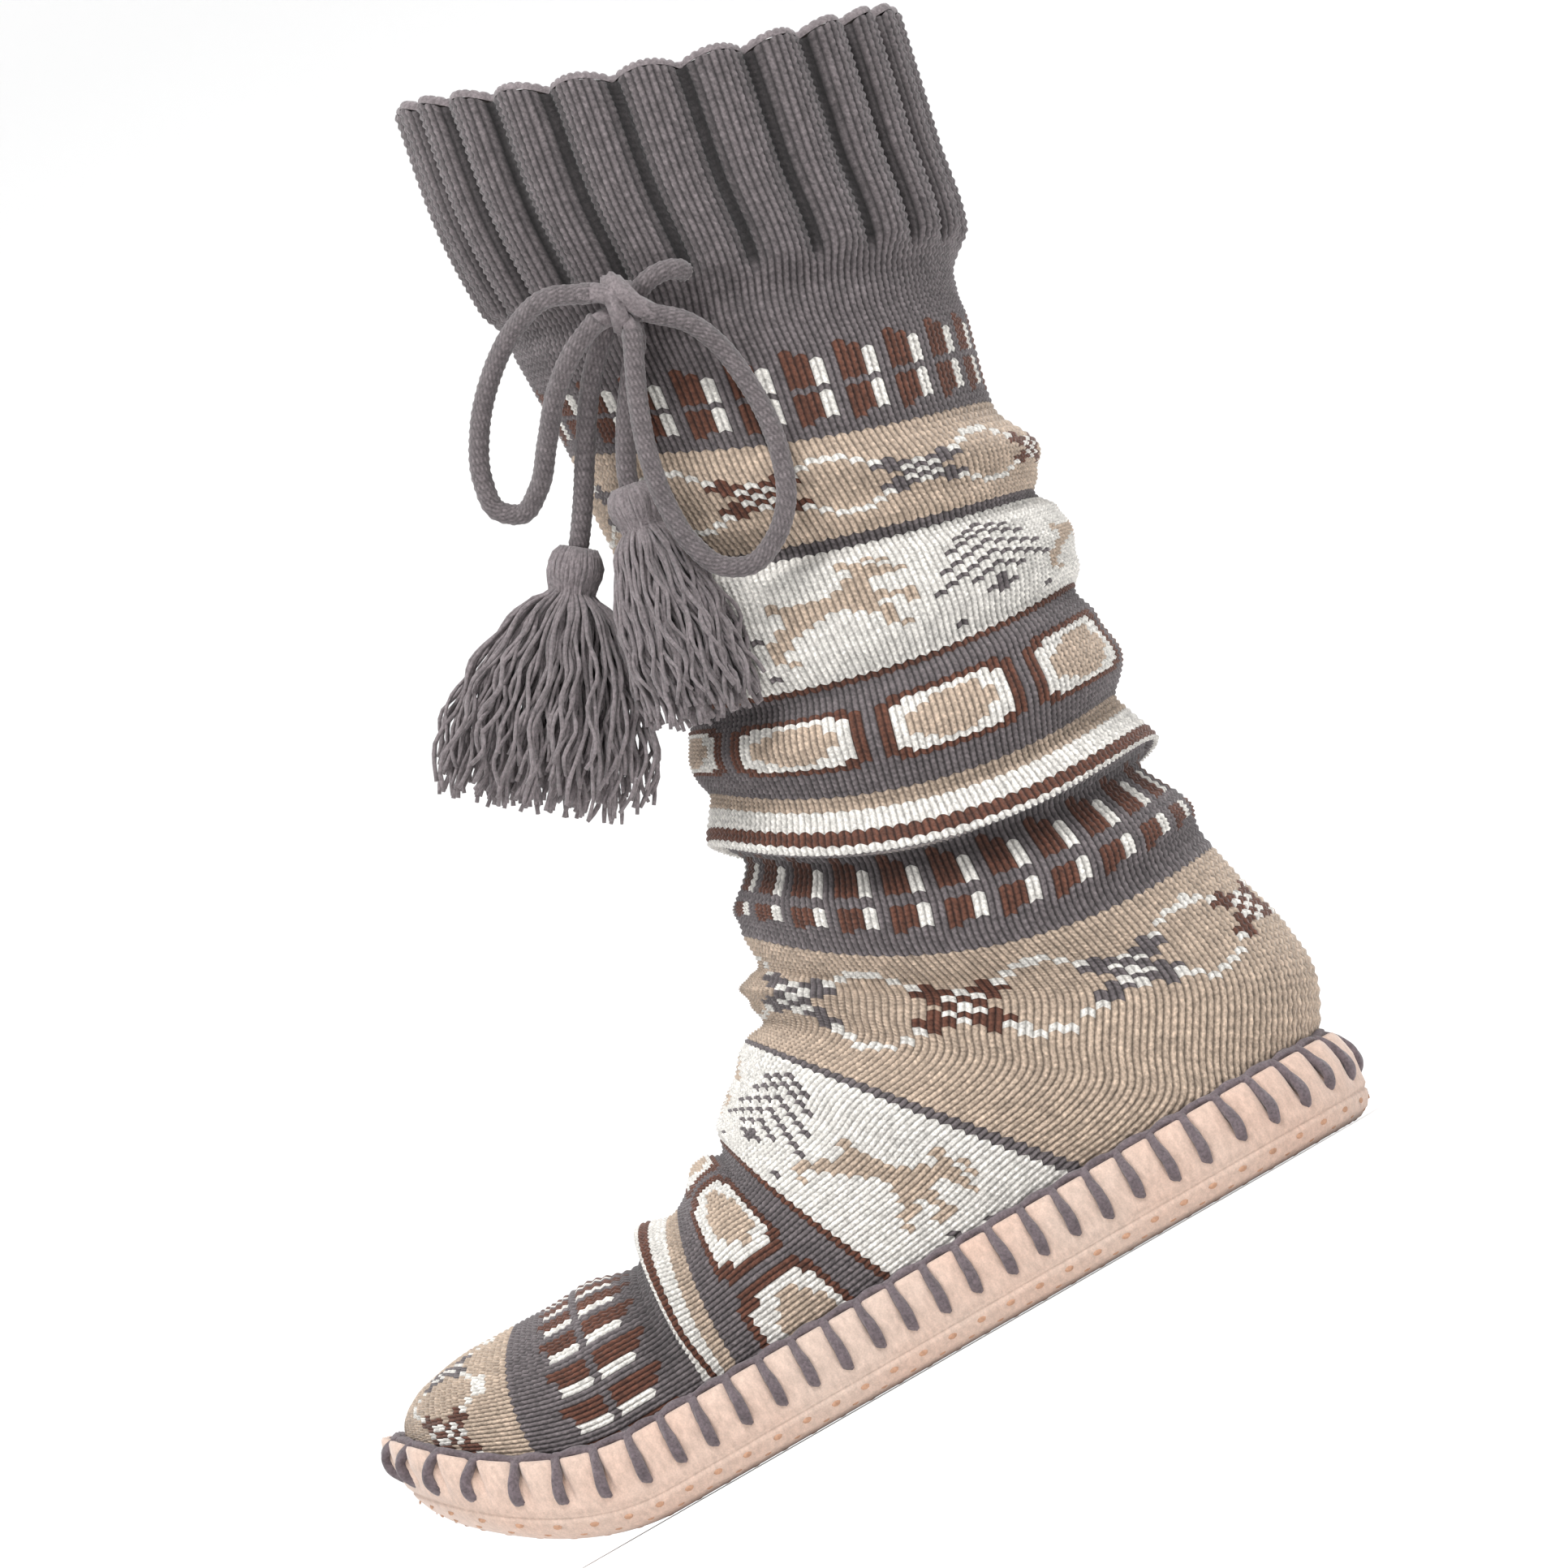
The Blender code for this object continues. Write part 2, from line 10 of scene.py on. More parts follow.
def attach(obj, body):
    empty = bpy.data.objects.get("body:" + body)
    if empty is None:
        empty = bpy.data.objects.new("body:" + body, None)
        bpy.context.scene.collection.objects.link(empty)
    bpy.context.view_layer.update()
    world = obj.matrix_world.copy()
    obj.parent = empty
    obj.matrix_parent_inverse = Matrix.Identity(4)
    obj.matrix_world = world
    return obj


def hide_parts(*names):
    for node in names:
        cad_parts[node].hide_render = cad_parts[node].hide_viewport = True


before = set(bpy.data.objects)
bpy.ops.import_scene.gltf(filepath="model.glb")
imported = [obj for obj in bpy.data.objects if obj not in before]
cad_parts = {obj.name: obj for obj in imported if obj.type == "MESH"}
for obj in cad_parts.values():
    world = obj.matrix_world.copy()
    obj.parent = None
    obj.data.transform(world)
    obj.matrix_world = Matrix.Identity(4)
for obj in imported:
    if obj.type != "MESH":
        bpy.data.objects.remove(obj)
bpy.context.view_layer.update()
rng = random.Random(11)

# Camera: a long lens close to the floor, rolled so that the heel rises in the picture
AIM = Vector((-0.0236, 0.0, 0.1329))
CAMERA_DISTANCE = 2.6
CAMERA_HEIGHT = 0.006
PICTURE_WIDTH = 0.361
ROLL = math.radians(30)

# Sizes of the slipper, as in its construction
FOOT_LENGTH = 0.232
HEEL_X = 0.0580
FOOT_WIDTH = 0.088
INSTEP_HEIGHT = 0.105
TOE_SPRING = 0.024
SPRING_START = 0.79
SUEDE = 0.0016
SEAM_HEIGHT = 0.020
LAP = 0.0045
SIDE_PUFF = 0.0022
SOLE_EDGE = 0.0080
FLOOR_EDGE = 0.0048
STITCH_COUNT = 64
ANKLE_HEIGHT = 0.089
SHAFT_RISE = 0.205
SHAFT_DEPTH = 0.100
SHAFT_WIDTH = 0.088
RIB_COUNT = 24
RIB_ROWS = 28
SEAM_GAP = 0.0015

# Knit gauge and relief, and the shade painted into the stitches' colour
WALES = 96
WALE_COLUMNS = 6
ROW_LINES = 2
LEG_SHEAR = 0.48
LEG_RELIEF = 0.0011
KNIT_SINK = 0.0007
RIB_RELIEF = 0.0042
LOW_LINE = 0.40
# Painted shade: GROOVE_SHADE is what is left of the colour in the grooves between the legs, LINE_SHADE
# darkens the line between rows, RIB_SHADE the hollows between ribs and FOLD_SHADE the folds that
# FOLD_SPAN and FOLD_DEPTH find; PALE_SHADE weakens the painted shade on pale yarns. HEATHER is the
# yarn's own random tone.
GROOVE_SHADE = 0.20
LINE_SHADE = 0.34
RIB_SHADE = 0.85
PALE_SHADE = 0.65
HEATHER = 0.16
FOLD_SPAN = 14
FOLD_DEPTH = 0.0030
FOLD_SHADE = 0.45
RIM_RADIUS = 0.0013
RIM_SCALLOP = 0.0022
HEEL_ROWS = (151, 174)
HEEL_ROW_COUNT = 42
HEEL_STITCH = 0.00175

# Suede, whip stitches and dots
PER_STITCH = 16
SCALLOP_RISE = 0.0016
SCALLOP_PUFF = 0.0010
STITCH_DENT = 0.0016
STITCH_LENGTH = 0.0104
STITCH_RADIUS = 0.00150
STITCH_SWELL = ((0, 0.08, 0.34, 0.60, 0.80, 1), (0.75, 0.98, 1.06, 0.98, 0.86, 0.75))
LARGEST_LEAN = 0.34
# A stitch's points from the foot up: share of its lean, and metres out and up from foot or seam
STITCH_FOOT = (
    (1, -0.0024, -0.0002), (1, -0.0004, 0.0003), (0.92, 0.0007, 0.0018), (0.62, 0.0006, 0.0050),
)
STITCH_HEAD = (
    (0.25, -0.0008, -0.0024), (0, -0.0024, -0.0002), (-0.1, -0.0040, 0.0012), (-0.15, -0.0060, 0.0012),
)
EDGE_RADIUS = 0.0014
CREASE = 0.0058
DOT_PITCH = 0.0075
DOT_SIZE = 0.0009

# Cord and tassels
CORD = 0.0052
KNOT_CENTRE = (-0.0009, -0.0504, 0.2435)
# Turns of cord around the knot: lean, half width and half depth, and how far they lie aside and up
KNOT_WRAPS = ((0.20, 0.0052, 0.0046, -0.0015, -0.0002), (-0.25, 0.0049, 0.0050, 0.0015, 0.0003))
TUCK = 0.0025
CORD_STEP = 0.00042
CORD_WALES = 7
CORD_ROW = 0.0021
TASSEL_HEAD = 0.0060
TASSEL_TIE = 0.198
TIE_RADIUS = 0.0042
STRANDS = {"tassel_front": 330, "tassel_side": 220}
STRAND_RADIUS = 0.00058
STRAND_PLACES = (0.02, 0.06, 0.10, 0.15, 0.195, 0.24, *np.linspace(0.30, 1.0, 11))
HEAD_SHAPE = ((0, 0.05, 0.10, 0.16, 0.20, 0.25, 1.0), (0.50, 0.92, 1.05, 0.90, 0.62, 0.78, 0.25))
SKIRT_SHAPE = ((0.18, 0.28, 0.55, 0.82, 1.0), (0, 0.34, 0.76, 0.98, 1.03))
CORE_PLACES = (0.015, 0.05, 0.10, 0.15, 0.20, 0.28, 0.36)
CORE_RADII = (0.0022, 0.0048, 0.0058, 0.0048, 0.0033, 0.0045, 0.0040)

# Linear colours of the yarns and leathers
SEAM_GREY = (0.140, 0.110, 0.121)
GREY = (0.204, 0.175, 0.181)
BROWN = (0.175, 0.066, 0.040)
TAN = (0.680, 0.530, 0.410)
WHITE = (0.960, 0.925, 0.870)
SUEDE_COLOUR = (0.650, 0.505, 0.425)
WORN_SUEDE = (0.660, 0.465, 0.375)
DOT_COLOUR = (0.500, 0.290, 0.190)
LINING = (0.300, 0.260, 0.240)
INSOLE = (0.620, 0.560, 0.500)
YARNS = {"G": GREY, "N": BROWN, "T": TAN, "W": WHITE}

# Knit rows count down from the cuff's edge to the toe. Each row of the two section tables is one
# ring of knitting. Shaft: lengths are shares of the rise, the depth or the width of the shaft.
SHAFT_COLUMNS = (
    "row", "centre_x", "rise", "reach", "tilt", "half_width", "droop", "centre_y", "square",
)
SHAFT_SECTIONS = (
    (0, 0.322, 0.995, 0.586, 18.5, 0.568, 0.058, 0.01, 0.02),
    (15, 0.263, 0.852, 0.577, 18.3, 0.557, 0.03, 0.01, 0.02),
    (28, 0.229, 0.734, 0.552, 20, 0.54, 0.02, 0.008, 0.02),
    (33, 0.203, 0.698, 0.52, 20.5, 0.523, 0.03, 0.006, 0.02),
    (41, 0.192, 0.647, 0.505, 19.5, 0.511, 0.05, 0.004, 0.02),
    (54, 0.166, 0.56, 0.49, 22.5, 0.5, 0.06, 0, 0.02),
    (72, 0.156, 0.432, 0.5, 18.5, 0.5, 0.045, 0, 0.02),
    (87, 0.139, 0.361, 0.497, 14.5, 0.495, 0.06, 0, 0.02),
    (100, 0.117, 0.288, 0.492, 12, 0.489, 0.074, 0, 0.02),
    (111, 0.091, 0.229, 0.492, 14.7, 0.489, 0.09, 0, 0.02),
    (121, 0.066, 0.18, 0.492, 16.2, 0.483, 0.11, 0, 0.02),
    (131, 0.054, 0.128, 0.494, 16.2, 0.477, 0.11, 0, 0.02),
    (141, 0.042, 0.058, 0.518, 16.8, 0.472, 0.118, 0, 0.015),
    (151, 0.026, 0, 0.552, 19.1, 0.46, 0.14, 0, 0.01),
)

# Foot: front is the ring's top point, base its point under the foot. Both are shares of the foot's
# length from the heel and of the instep's height, and bulge is a share of the foot's length.
FOOT_COLUMNS = (
    "row", "front", "front_z", "base", "base_z", "half_width", "bulge", "centre_y", "square",
)
FOOT_SECTIONS = (
    (154, 0.472, 0.962, 0.002, 0.575, 0.45, 0.046, 0, 0.01),
    (158, 0.477, 0.938, -0.01, 0.45, 0.442, 0.034, 0, 0.01),
    (162, 0.483, 0.914, -0.008, 0.3, 0.438, 0.02, 0, 0.01),
    (165, 0.489, 0.89, 0.032, 0.145, 0.437, 0.01, 0, 0.012),
    (168, 0.494, 0.867, 0.06, 0.03, 0.437, 0.004, -0.003, 0.015),
    (171, 0.498, 0.843, 0.127, -0.01, 0.44, 0.002, -0.006, 0.018),
    (174, 0.507, 0.816, 0.2, -0.01, 0.445, 0.002, -0.01, 0.022),
    (187, 0.554, 0.74, 0.313, -0.01, 0.459, 0.008, -0.015, 0.026),
    (200, 0.588, 0.676, 0.457, -0.01, 0.473, 0.01, -0.015, 0.03),
    (210, 0.616, 0.633, 0.555, -0.01, 0.484, 0.016, -0.008, 0.03),
    (220, 0.653, 0.576, 0.657, -0.01, 0.494, 0.02, 0, 0.03),
    (231, 0.7, 0.548, 0.701, -0.01, 0.497, 0.016, 0.01, 0.03),
    (242, 0.797, 0.533, 0.795, -0.01, 0.48, 0.018, 0.028, 0.028),
    (252, 0.858, 0.51, 0.866, -0.01, 0.445, 0.036, 0.045, 0.025),
    (259, 0.905, 0.467, 0.908, 0, 0.395, 0.04, 0.06, 0.02),
    (264, 0.937, 0.414, 0.941, 0.01, 0.325, 0.036, 0.072, 0.015),
    (268, 0.965, 0.352, 0.969, 0.03, 0.24, 0.024, 0.082, 0.01),
    (271, 0.986, 0.281, 0.99, 0.09, 0.145, 0.012, 0.088, 0.005),
    (273, 0.999, 0.21, 1, 0.2, 0.01, 0, 0.09, 0),
)
LAST_ROW = FOOT_SECTIONS[-1][0]

# Folds of the slack knit. Swell and sag are shares of the shaft's depth: swell pushes the row
# outwards, sag lets it hang over the rows below. Above and below are the fold's reach in rows.
# Front, side and back weight it around the ring, and wander moves it up and down in rows.
FOLD_COLUMNS = ("row", "above", "below", "swell", "sag", "front", "side", "back", "wander")
FOLDS = (
    (30.5, 4, 4, -0.016, 0, 0.6, 1, 0.8, 0.8),
    (60, 6, 8, 0.062, 0.012, 0.1, 0.3, 1, 1),
    (73, 5, 5, -0.034, 0, 0.5, 0.9, 0.8, 1.4),
    (87, 8, 8, 0.016, 0.004, 0.6, 0.6, 1, 1.5),
    (100, 6, 5, -0.032, 0, 0.8, 0.7, 1, 1.6),
    (112, 8, 8, 0.026, 0, 0.7, 0.8, 1, 1.2),
    (122, 4, 3, -0.014, 0, 0.6, 0.5, 1, 0.8),
    (130, 7, 3, 0.048, 0.03, 0.8, 1, 0.9, 0.6),
    (135, 3, 6, -0.034, 0, 1, 1, 1, 0.6),
    (144, 5, 6, 0.022, 0, 0.7, 0.2, 1, 0.8),
    (155, 4, 4, -0.026, 0, 1, 0.1, 0.2, 0.8),
    (161.5, 4, 4, 0.024, 0.004, 1, 0.1, 0, 0.6),
    (169, 4, 4, -0.024, 0, 1, 0.2, 0, 0.6),
    (177, 6, 7, 0.022, 0, 1, 0.4, 0, 0.8),
    (203, 6, 5, -0.034, 0, 1, 0.3, 0, 1),
    (211, 5, 6, 0.014, 0, 1, 0.6, 0, 0.8),
    (228.5, 8, 3, 0.04, 0.026, 1, 0.8, 0, 0.4),
    (233.5, 3, 6, -0.028, 0, 1, 0.8, 0, 0.4),
)
FOLD_FADE = 0.016

# Routes of the cord, given in metres: they start at the drawstring's hole or at the knot.
ROUTES = {
    "cord_lead": (
        (0.0148, -0.0484, 0.2424), (0.0139, -0.0506, 0.2435), (0.0117, -0.0518, 0.2444),
        (0.0081, -0.0515, 0.2448),
    ),
    "cord_loop_front": (
        (-0.0080, -0.0535, 0.2493), (-0.0145, -0.0515, 0.2524), (-0.0246, -0.0440, 0.2511),
        (-0.0350, -0.0370, 0.2448), (-0.0435, -0.0320, 0.2357), (-0.0485, -0.0295, 0.2259),
        (-0.0490, -0.0290, 0.2184), (-0.0446, -0.0300, 0.2147), (-0.0384, -0.0340, 0.2174),
        (-0.0315, -0.0400, 0.2250), (-0.0235, -0.0470, 0.2338), (-0.0152, -0.0525, 0.2394),
        (-0.0099, -0.0540, 0.2415),
    ),
    "cord_loop_side": (
        (0.0041, -0.0536, 0.2371), (0.0095, -0.0530, 0.2321), (0.0131, -0.0515, 0.2247),
        (0.0146, -0.0505, 0.2146), (0.0146, -0.0505, 0.2046), (0.0127, -0.0508, 0.1946),
        (0.0089, -0.0505, 0.1858), (0.0025, -0.0490, 0.1797), (-0.0049, -0.0480, 0.1773),
        (-0.0113, -0.0485, 0.1806), (-0.0146, -0.0500, 0.1885), (-0.0150, -0.0510, 0.1981),
        (-0.0133, -0.0520, 0.2090), (-0.0097, -0.0530, 0.2199), (-0.0060, -0.0540, 0.2282),
        (-0.0030, -0.0545, 0.2344),
    ),
    "cord_tail_front": (
        (-0.0078, -0.0469, 0.2394), (-0.0140, -0.0448, 0.2339), (-0.0198, -0.0405, 0.2268),
        (-0.0253, -0.0362, 0.2188), (-0.0308, -0.0328, 0.2104), (-0.0358, -0.0306, 0.2034),
    ),
    "cord_tail_side": (
        (-0.0022, -0.0466, 0.2349), (-0.0067, -0.0462, 0.2292), (-0.0121, -0.0445, 0.2220),
        (-0.0167, -0.0425, 0.2147), (-0.0196, -0.0412, 0.2089),
    ),
}

# Tassels: where the cord enters, the middle of the hem, and the skirt's half width and half depth.
TASSELS = {
    "tassel_front": ((-0.0367, -0.0301, 0.2022), (-0.0730, -0.0295, 0.1570), 0.0225, 0.0130),
    "tassel_side": ((-0.0201, -0.0410, 0.2079), (-0.0300, -0.0420, 0.1550), 0.0120, 0.0070),
}

# The cord runs on from the drawstring's hole through the knot to the side tassel.
SIDE_ROUTE = (
    ROUTES["cord_lead"][:3]
    + ((0.0071, -0.0512, 0.2447), (0.0031, -0.0490, 0.2433), (-0.0007, -0.0470, 0.2394))
    + ROUTES["cord_tail_side"]
)
# Short bends of cord that show in the knot
KNOT_STRANDS = (
    (
        (0.0041, -0.0536, 0.2371), (0.0017, -0.0545, 0.2408), (-0.0019, -0.0548, 0.2450),
        (-0.0052, -0.0543, 0.2479), (-0.0080, -0.0535, 0.2493),
    ),
    (
        (-0.0030, -0.0545, 0.2344), (-0.0020, -0.0530, 0.2385), (-0.0041, -0.0520, 0.2416),
        (-0.0071, -0.0530, 0.2418), (-0.0099, -0.0540, 0.2415),
    ),
    (
        (-0.0078, -0.0469, 0.2394), (-0.0046, -0.0475, 0.2417), (-0.0004, -0.0485, 0.2439),
        (0.0032, -0.0500, 0.2453),
    ),
)

# Charts, drawn one letter a stitch, from the cuff's side down: grey, nut brown, tan, white.
# Each line is repeated to the wales of one repeat, so a line of one letter is a plain row.
REPEAT = 24
TICKS = (
    "GGNG", "GGNN", "WGNN", "WGNN", "WGNN", "WGNN", "GGGG",
    "WGNN", "WGNN", "WGNN", "WGNN", "GGNG", "GGGG",
)
FLOWER_HALF = (
    "WWTTTTTTTTTWWWTTTTTTTTTW",
    "TTWTTTTTTTWTTTWTTTTTTTWT",
    "TTTWNTTTNWTTTTTWGTTTGWTT",
    "TTTNNNWNNNTTTTTGGGWGGGTT",
    "TTTTNWNWNTTTTTTTGWGWGTTT",
)
FLOWER_HEART = "TTTTTNWNTTTTTTTTTGWGTTTT"
FLOWERS = (*"TTT", *FLOWER_HALF, FLOWER_HEART, *FLOWER_HALF[::-1], *"TTTT")
DEER = (
    "W",
    "WWWWWWGWWWWWWWWWWWWWWWWW",
    "WWWWWGWGWWWWWWWWWWWTWTWW",
    "WWWWGWGWGWWWWWWWWWWTTWTW",
    "WWWWWGWGWWWWWWWWWWWWTTWW",
    "WWWWGWWWGWWWWWWWWWWWTTTW",
    "WWWGWWGWWGWWWWWWWWWTTTTT",
    "WWWWWGWGWWWWWWWWWWWTTWWW",
    "WWWWGWWWGWWWWTWWWWTTTWWW",
    "WWWGWWGWWGWWWTTTTTTTTWWW",
    "WWGWWGWGWWGWWWTTTTTTTTWW",
    "WWWWGWWWGWWWWWTTTTTTTTTT",
    "WWWGWWGWWGWWWWTTTWWTTWWT",
    "WWGWWGWGWWGWWTTTWWWWTTWT",
    "WGWWGWWWGWWGWTTWWWWWWTWW",
    "WWWWWWGWWWWWTTWWWWWWWTWW",
    "WWWWWGGGWWWWTWWWWWWWWWTW",
    "WWWWWWGWWWWWTWWWWWWWWWWW",
    "WWWWWWWWWWWWWTWWWWWWWWWW",
    "W",
    "WWGWWWWWWWWGWWWWWWWWWWWW",
    "W",
    "W",
)
PEBBLES = (
    *"GGG",
    "GGNNNNNNNNNG",
    "GNNWWWWWWWNN",
    "GNWWWTTTTWWN",
    "GNWWTTTTTWWN",
    "GNWTTTTTTTWN",
    "GNWTTTTTTTWN",
    "GNWTTTTTTWWN",
    "GNWWTTTTTWWN",
    "GNWWWTTTWWWN",
    "GNNWWWWWWWNN",
    "GGNNNNNNNNNG",
    *"GGGG",
)
STRIPES = "TTTWWWNNWW"

# Bands from the cuff to the toe: last section row, chart, and wales that the chart moves
BANDS = (
    (40, "G", 0),
    (53, TICKS, 0),
    (54.5, "G", 0),
    (72, FLOWERS, 10),
    (74.5, "G", 0),
    (99, DEER, 20),
    (100.5, "N", 0),
    (121, PEBBLES, 3),
    (131.5, STRIPES, 0),
    (134, "G", 0),
    (148, TICKS, 0),
    (151, "G", 0),
    (174, FLOWERS, 11),
    (175.5, "G", 0),
    (199, DEER, 20),
    (200.5, "N", 0),
    (220, PEBBLES, 3),
    (230, STRIPES, 0),
    (234, "G", 0),
    (247, TICKS, 0),
    (251, "G", 0),
    (272, FLOWERS, 8),
    (280, "T", 0),
)


def smooth(rows, values, at):
    """Values between the rows of a table, on a curve without corners."""
    slope = np.gradient(values, rows)
    at = np.clip(at, rows[0], rows[-1])
    index = np.clip(np.searchsorted(rows, at, side="right") - 1, 0, len(rows) - 2)
    span = rows[index + 1] - rows[index]
    t = (at - rows[index]) / span
    start = values[index] * (1 + 2 * t) * (1 - t) ** 2 + slope[index] * span * t * (1 - t) ** 2
    end = values[index + 1] * t * t * (3 - 2 * t) - slope[index + 1] * span * t * t * (1 - t)
    return start + end


def step(value):
    """Smooth step from 0 to 1."""
    t = np.clip(value, 0.0, 1.0)
    return t * t * (3 - 2 * t)


def unit(vectors):
    """Vectors scaled to length 1."""
    return vectors / np.linalg.norm(vectors, axis=-1, keepdims=True)


def lengths_along(points):
    """Length of a line of points up to each of them."""
    return np.concatenate([[0], np.cumsum(np.linalg.norm(np.diff(points, axis=0), axis=1))])


def section_table():
    """All rings in metres: both ends in the side view, half width, bulge, centre, squareness."""
    shaft = dict(zip(SHAFT_COLUMNS, np.array(SHAFT_SECTIONS, dtype=float).T))
    foot = dict(zip(FOOT_COLUMNS, np.array(FOOT_SECTIONS, dtype=float).T))
    tilt = np.radians(shaft["tilt"])
    centre_x = shaft["centre_x"] * SHAFT_DEPTH
    centre_z = ANKLE_HEIGHT + shaft["rise"] * SHAFT_RISE
    reach_x = shaft["reach"] * SHAFT_DEPTH * np.cos(tilt)
    reach_z = shaft["reach"] * SHAFT_DEPTH * np.sin(tilt)
    parts = {
        "row": (shaft["row"], foot["row"]),
        "front_x": (centre_x - reach_x, HEEL_X - foot["front"] * FOOT_LENGTH),
        "front_z": (centre_z + reach_z, foot["front_z"] * INSTEP_HEIGHT),
        "back_x": (centre_x + reach_x, HEEL_X - foot["base"] * FOOT_LENGTH),
        "back_z": (centre_z - reach_z, foot["base_z"] * INSTEP_HEIGHT),
        "half_width": (shaft["half_width"] * SHAFT_WIDTH, foot["half_width"] * FOOT_WIDTH),
        "bulge": (shaft["droop"] * SHAFT_DEPTH, foot["bulge"] * FOOT_LENGTH),
        "centre_y": (shaft["centre_y"] * SHAFT_WIDTH, foot["centre_y"] * FOOT_WIDTH),
        "square": (shaft["square"], foot["square"]),
    }
    return {name: np.concatenate(pair) for name, pair in parts.items()}


SECTION = section_table()


def lift(x):
    """Height that the toe spring adds to everything at this place along the foot."""
    start = HEEL_X - SPRING_START * FOOT_LENGTH
    run = (1 - SPRING_START) * FOOT_LENGTH
    return TOE_SPRING * (np.maximum(start - x, 0.0) / run) ** 2


def tube(row, angle):
    """Point of the knitted tube before its folds, and its outward and downward directions."""
    def at(name):
        return smooth(SECTION["row"], SECTION[name], row)

    front = np.stack([at("front_x"), at("front_z")], axis=-1)
    back = np.stack([at("back_x"), at("back_z")], axis=-1)
    middle = (front + back) / 2
    arm = (front - back) / 2
    length = np.linalg.norm(arm, axis=-1, keepdims=True)
    along = arm / np.maximum(length, 1e-6)
    down = np.stack([-along[..., 1], along[..., 0]], axis=-1)
    square = at("square")
    sine, cosine = np.sin(angle), np.cos(angle)
    across = (sine + square * np.sin(3 * angle)) / (1 - square)
    forth = (cosine - square * np.cos(3 * angle)) / (1 - square)
    flat = middle + arm * forth[..., None] + down * (at("bulge") * sine ** 2)[..., None]
    point = np.stack([flat[..., 0], at("centre_y") - at("half_width") * across, flat[..., 1]], axis=-1)
    outward = np.stack([along[..., 0] * cosine, -sine, along[..., 1] * cosine], axis=-1)
    downward = np.stack([down[..., 0], np.zeros_like(down[..., 0]), down[..., 1]], axis=-1)
    return point, outward, downward


def fold_shift(row, angle, fade):
    """How far the folds move a point outwards and downwards."""
    outward = downward = 0.0
    cosine = np.cos(angle)
    front = np.maximum(cosine, 0.0) ** 2
    back = np.maximum(-cosine, 0.0) ** 2
    side = np.sin(angle) ** 2
    for number, line in enumerate(FOLDS):
        fold = dict(zip(FOLD_COLUMNS, line))
        offset = row - fold["row"] - fold["wander"] * np.sin(2 * angle + 1.7 * number)
        reach = np.where(offset < 0, fold["above"], fold["below"])
        height = np.cos(np.clip(offset / reach, -1, 1) * math.pi / 2) ** 2
        weight = fold["front"] * front + fold["side"] * side + fold["back"] * back
        weight = weight * (1 + 0.18 * np.sin(3 * angle + 2.3 * number)) * height * SHAFT_DEPTH
        outward = outward + fold["swell"] * weight
        downward = downward + fold["sag"] * weight
    return outward * fade, downward * fade


def ribs(row, angle):
    """How strongly the ribs show at a row, and how high their ridge stands around the ring."""
    return 1 - step((row - RIB_ROWS + 2) / 3), np.abs(np.cos(RIB_COUNT * angle / 2)) ** 0.8


def knit_surface(row, angle):
    """Outside of the knitted tube with folds and ribs, and its directions."""
    point, outward, downward = tube(row, angle)
    fade = step((point[..., 2] - SEAM_HEIGHT) / FOLD_FADE)
    swell, sag = fold_shift(row, angle, fade)
    ribbed, ridge = ribs(row, angle)
    rib = RIB_RELIEF * ribbed * (ridge - 0.72)
    edge = RIM_SCALLOP * (1 - step(row / 5)) * (1 - ridge)
    point = point + outward * (swell + rib)[..., None] + downward * (sag + edge)[..., None]
    return point, outward, downward


def outline(level, count):
    """Plan outline of the tube at a height: a closed loop from the toe over the outer side."""
    rows = np.linspace(SHAFT_SECTIONS[-1][0], LAST_ROW, 400)
    angles = np.linspace(0, math.pi, 721)
    sides = []
    for sign in (1, -1):
        points = []
        for row in rows:
            ring = tube(np.full_like(angles, row), sign * angles)[0]
            last = int(np.argmax(ring[:, 2] < level))
            if last > 0:
                high, low = ring[last - 1], ring[last]
                points.append(high + (low - high) * ((high[2] - level) / (high[2] - low[2])))
        sides.append(np.array(points))
    outer, inner = sides
    start = (outer[-1] + inner[-1]) / 2
    loop = np.concatenate([[start], outer[::-1], inner, [start]])
    run = lengths_along(loop)
    places = np.linspace(0, run[-1], count, endpoint=False)
    return np.column_stack([np.interp(places, run, loop[:, axis]) for axis in (0, 1)])


def outward_normals(loop):
    """Unit normals of a closed plan outline, smoothed, pointing away from its middle."""
    along = np.roll(loop, -3, axis=0) - np.roll(loop, 3, axis=0)
    normal = unit(np.stack([along[:, 1], -along[:, 0]], axis=1))
    if np.sum((loop - loop.mean(axis=0)) * normal) < 0:
        normal = -normal
    return normal


def make_mesh(name, vertices, faces, finish, colours=None):
    """Object from arrays: vertices, faces of one size, material, and a colour for each corner."""
    mesh = bpy.data.meshes.new(name)
    used, index = np.unique(faces, return_inverse=True)
    faces = index.reshape(np.shape(faces))
    mesh.from_pydata(np.asarray(vertices)[used].tolist(), [], faces.tolist())
    mesh.shade_smooth()
    if colours is not None:
        # The corner colours hold the yarn's colour times the painted shade.
        layer = mesh.color_attributes.new("yarn", "FLOAT_COLOR", "CORNER")
        full = np.concatenate([colours, np.ones((*colours.shape[:2], 1))], axis=2)
        layer.data.foreach_set("color", full.astype(np.float32).ravel())
    mesh.materials.append(finish)
    result = bpy.data.objects.new(name, mesh)
    bpy.context.scene.collection.objects.link(result)
    return result


def grid_faces(lines, count):
    """Quads of a grid of lines with count points each, closed around."""
    i, j = np.meshgrid(np.arange(lines - 1), np.arange(count), indexing="ij")
    k = (j + 1) % count
    quads = np.stack([i * count + j, (i + 1) * count + j, (i + 1) * count + k, i * count + k], axis=-1)
    return quads.reshape(-1, 4)


def place(piece, slot, *nodes):
    """Rides a piece on the slipper and hides the solids that it stands for; the slot is not used."""
    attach(piece, "root")
    if nodes:
        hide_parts(*nodes)
    return piece


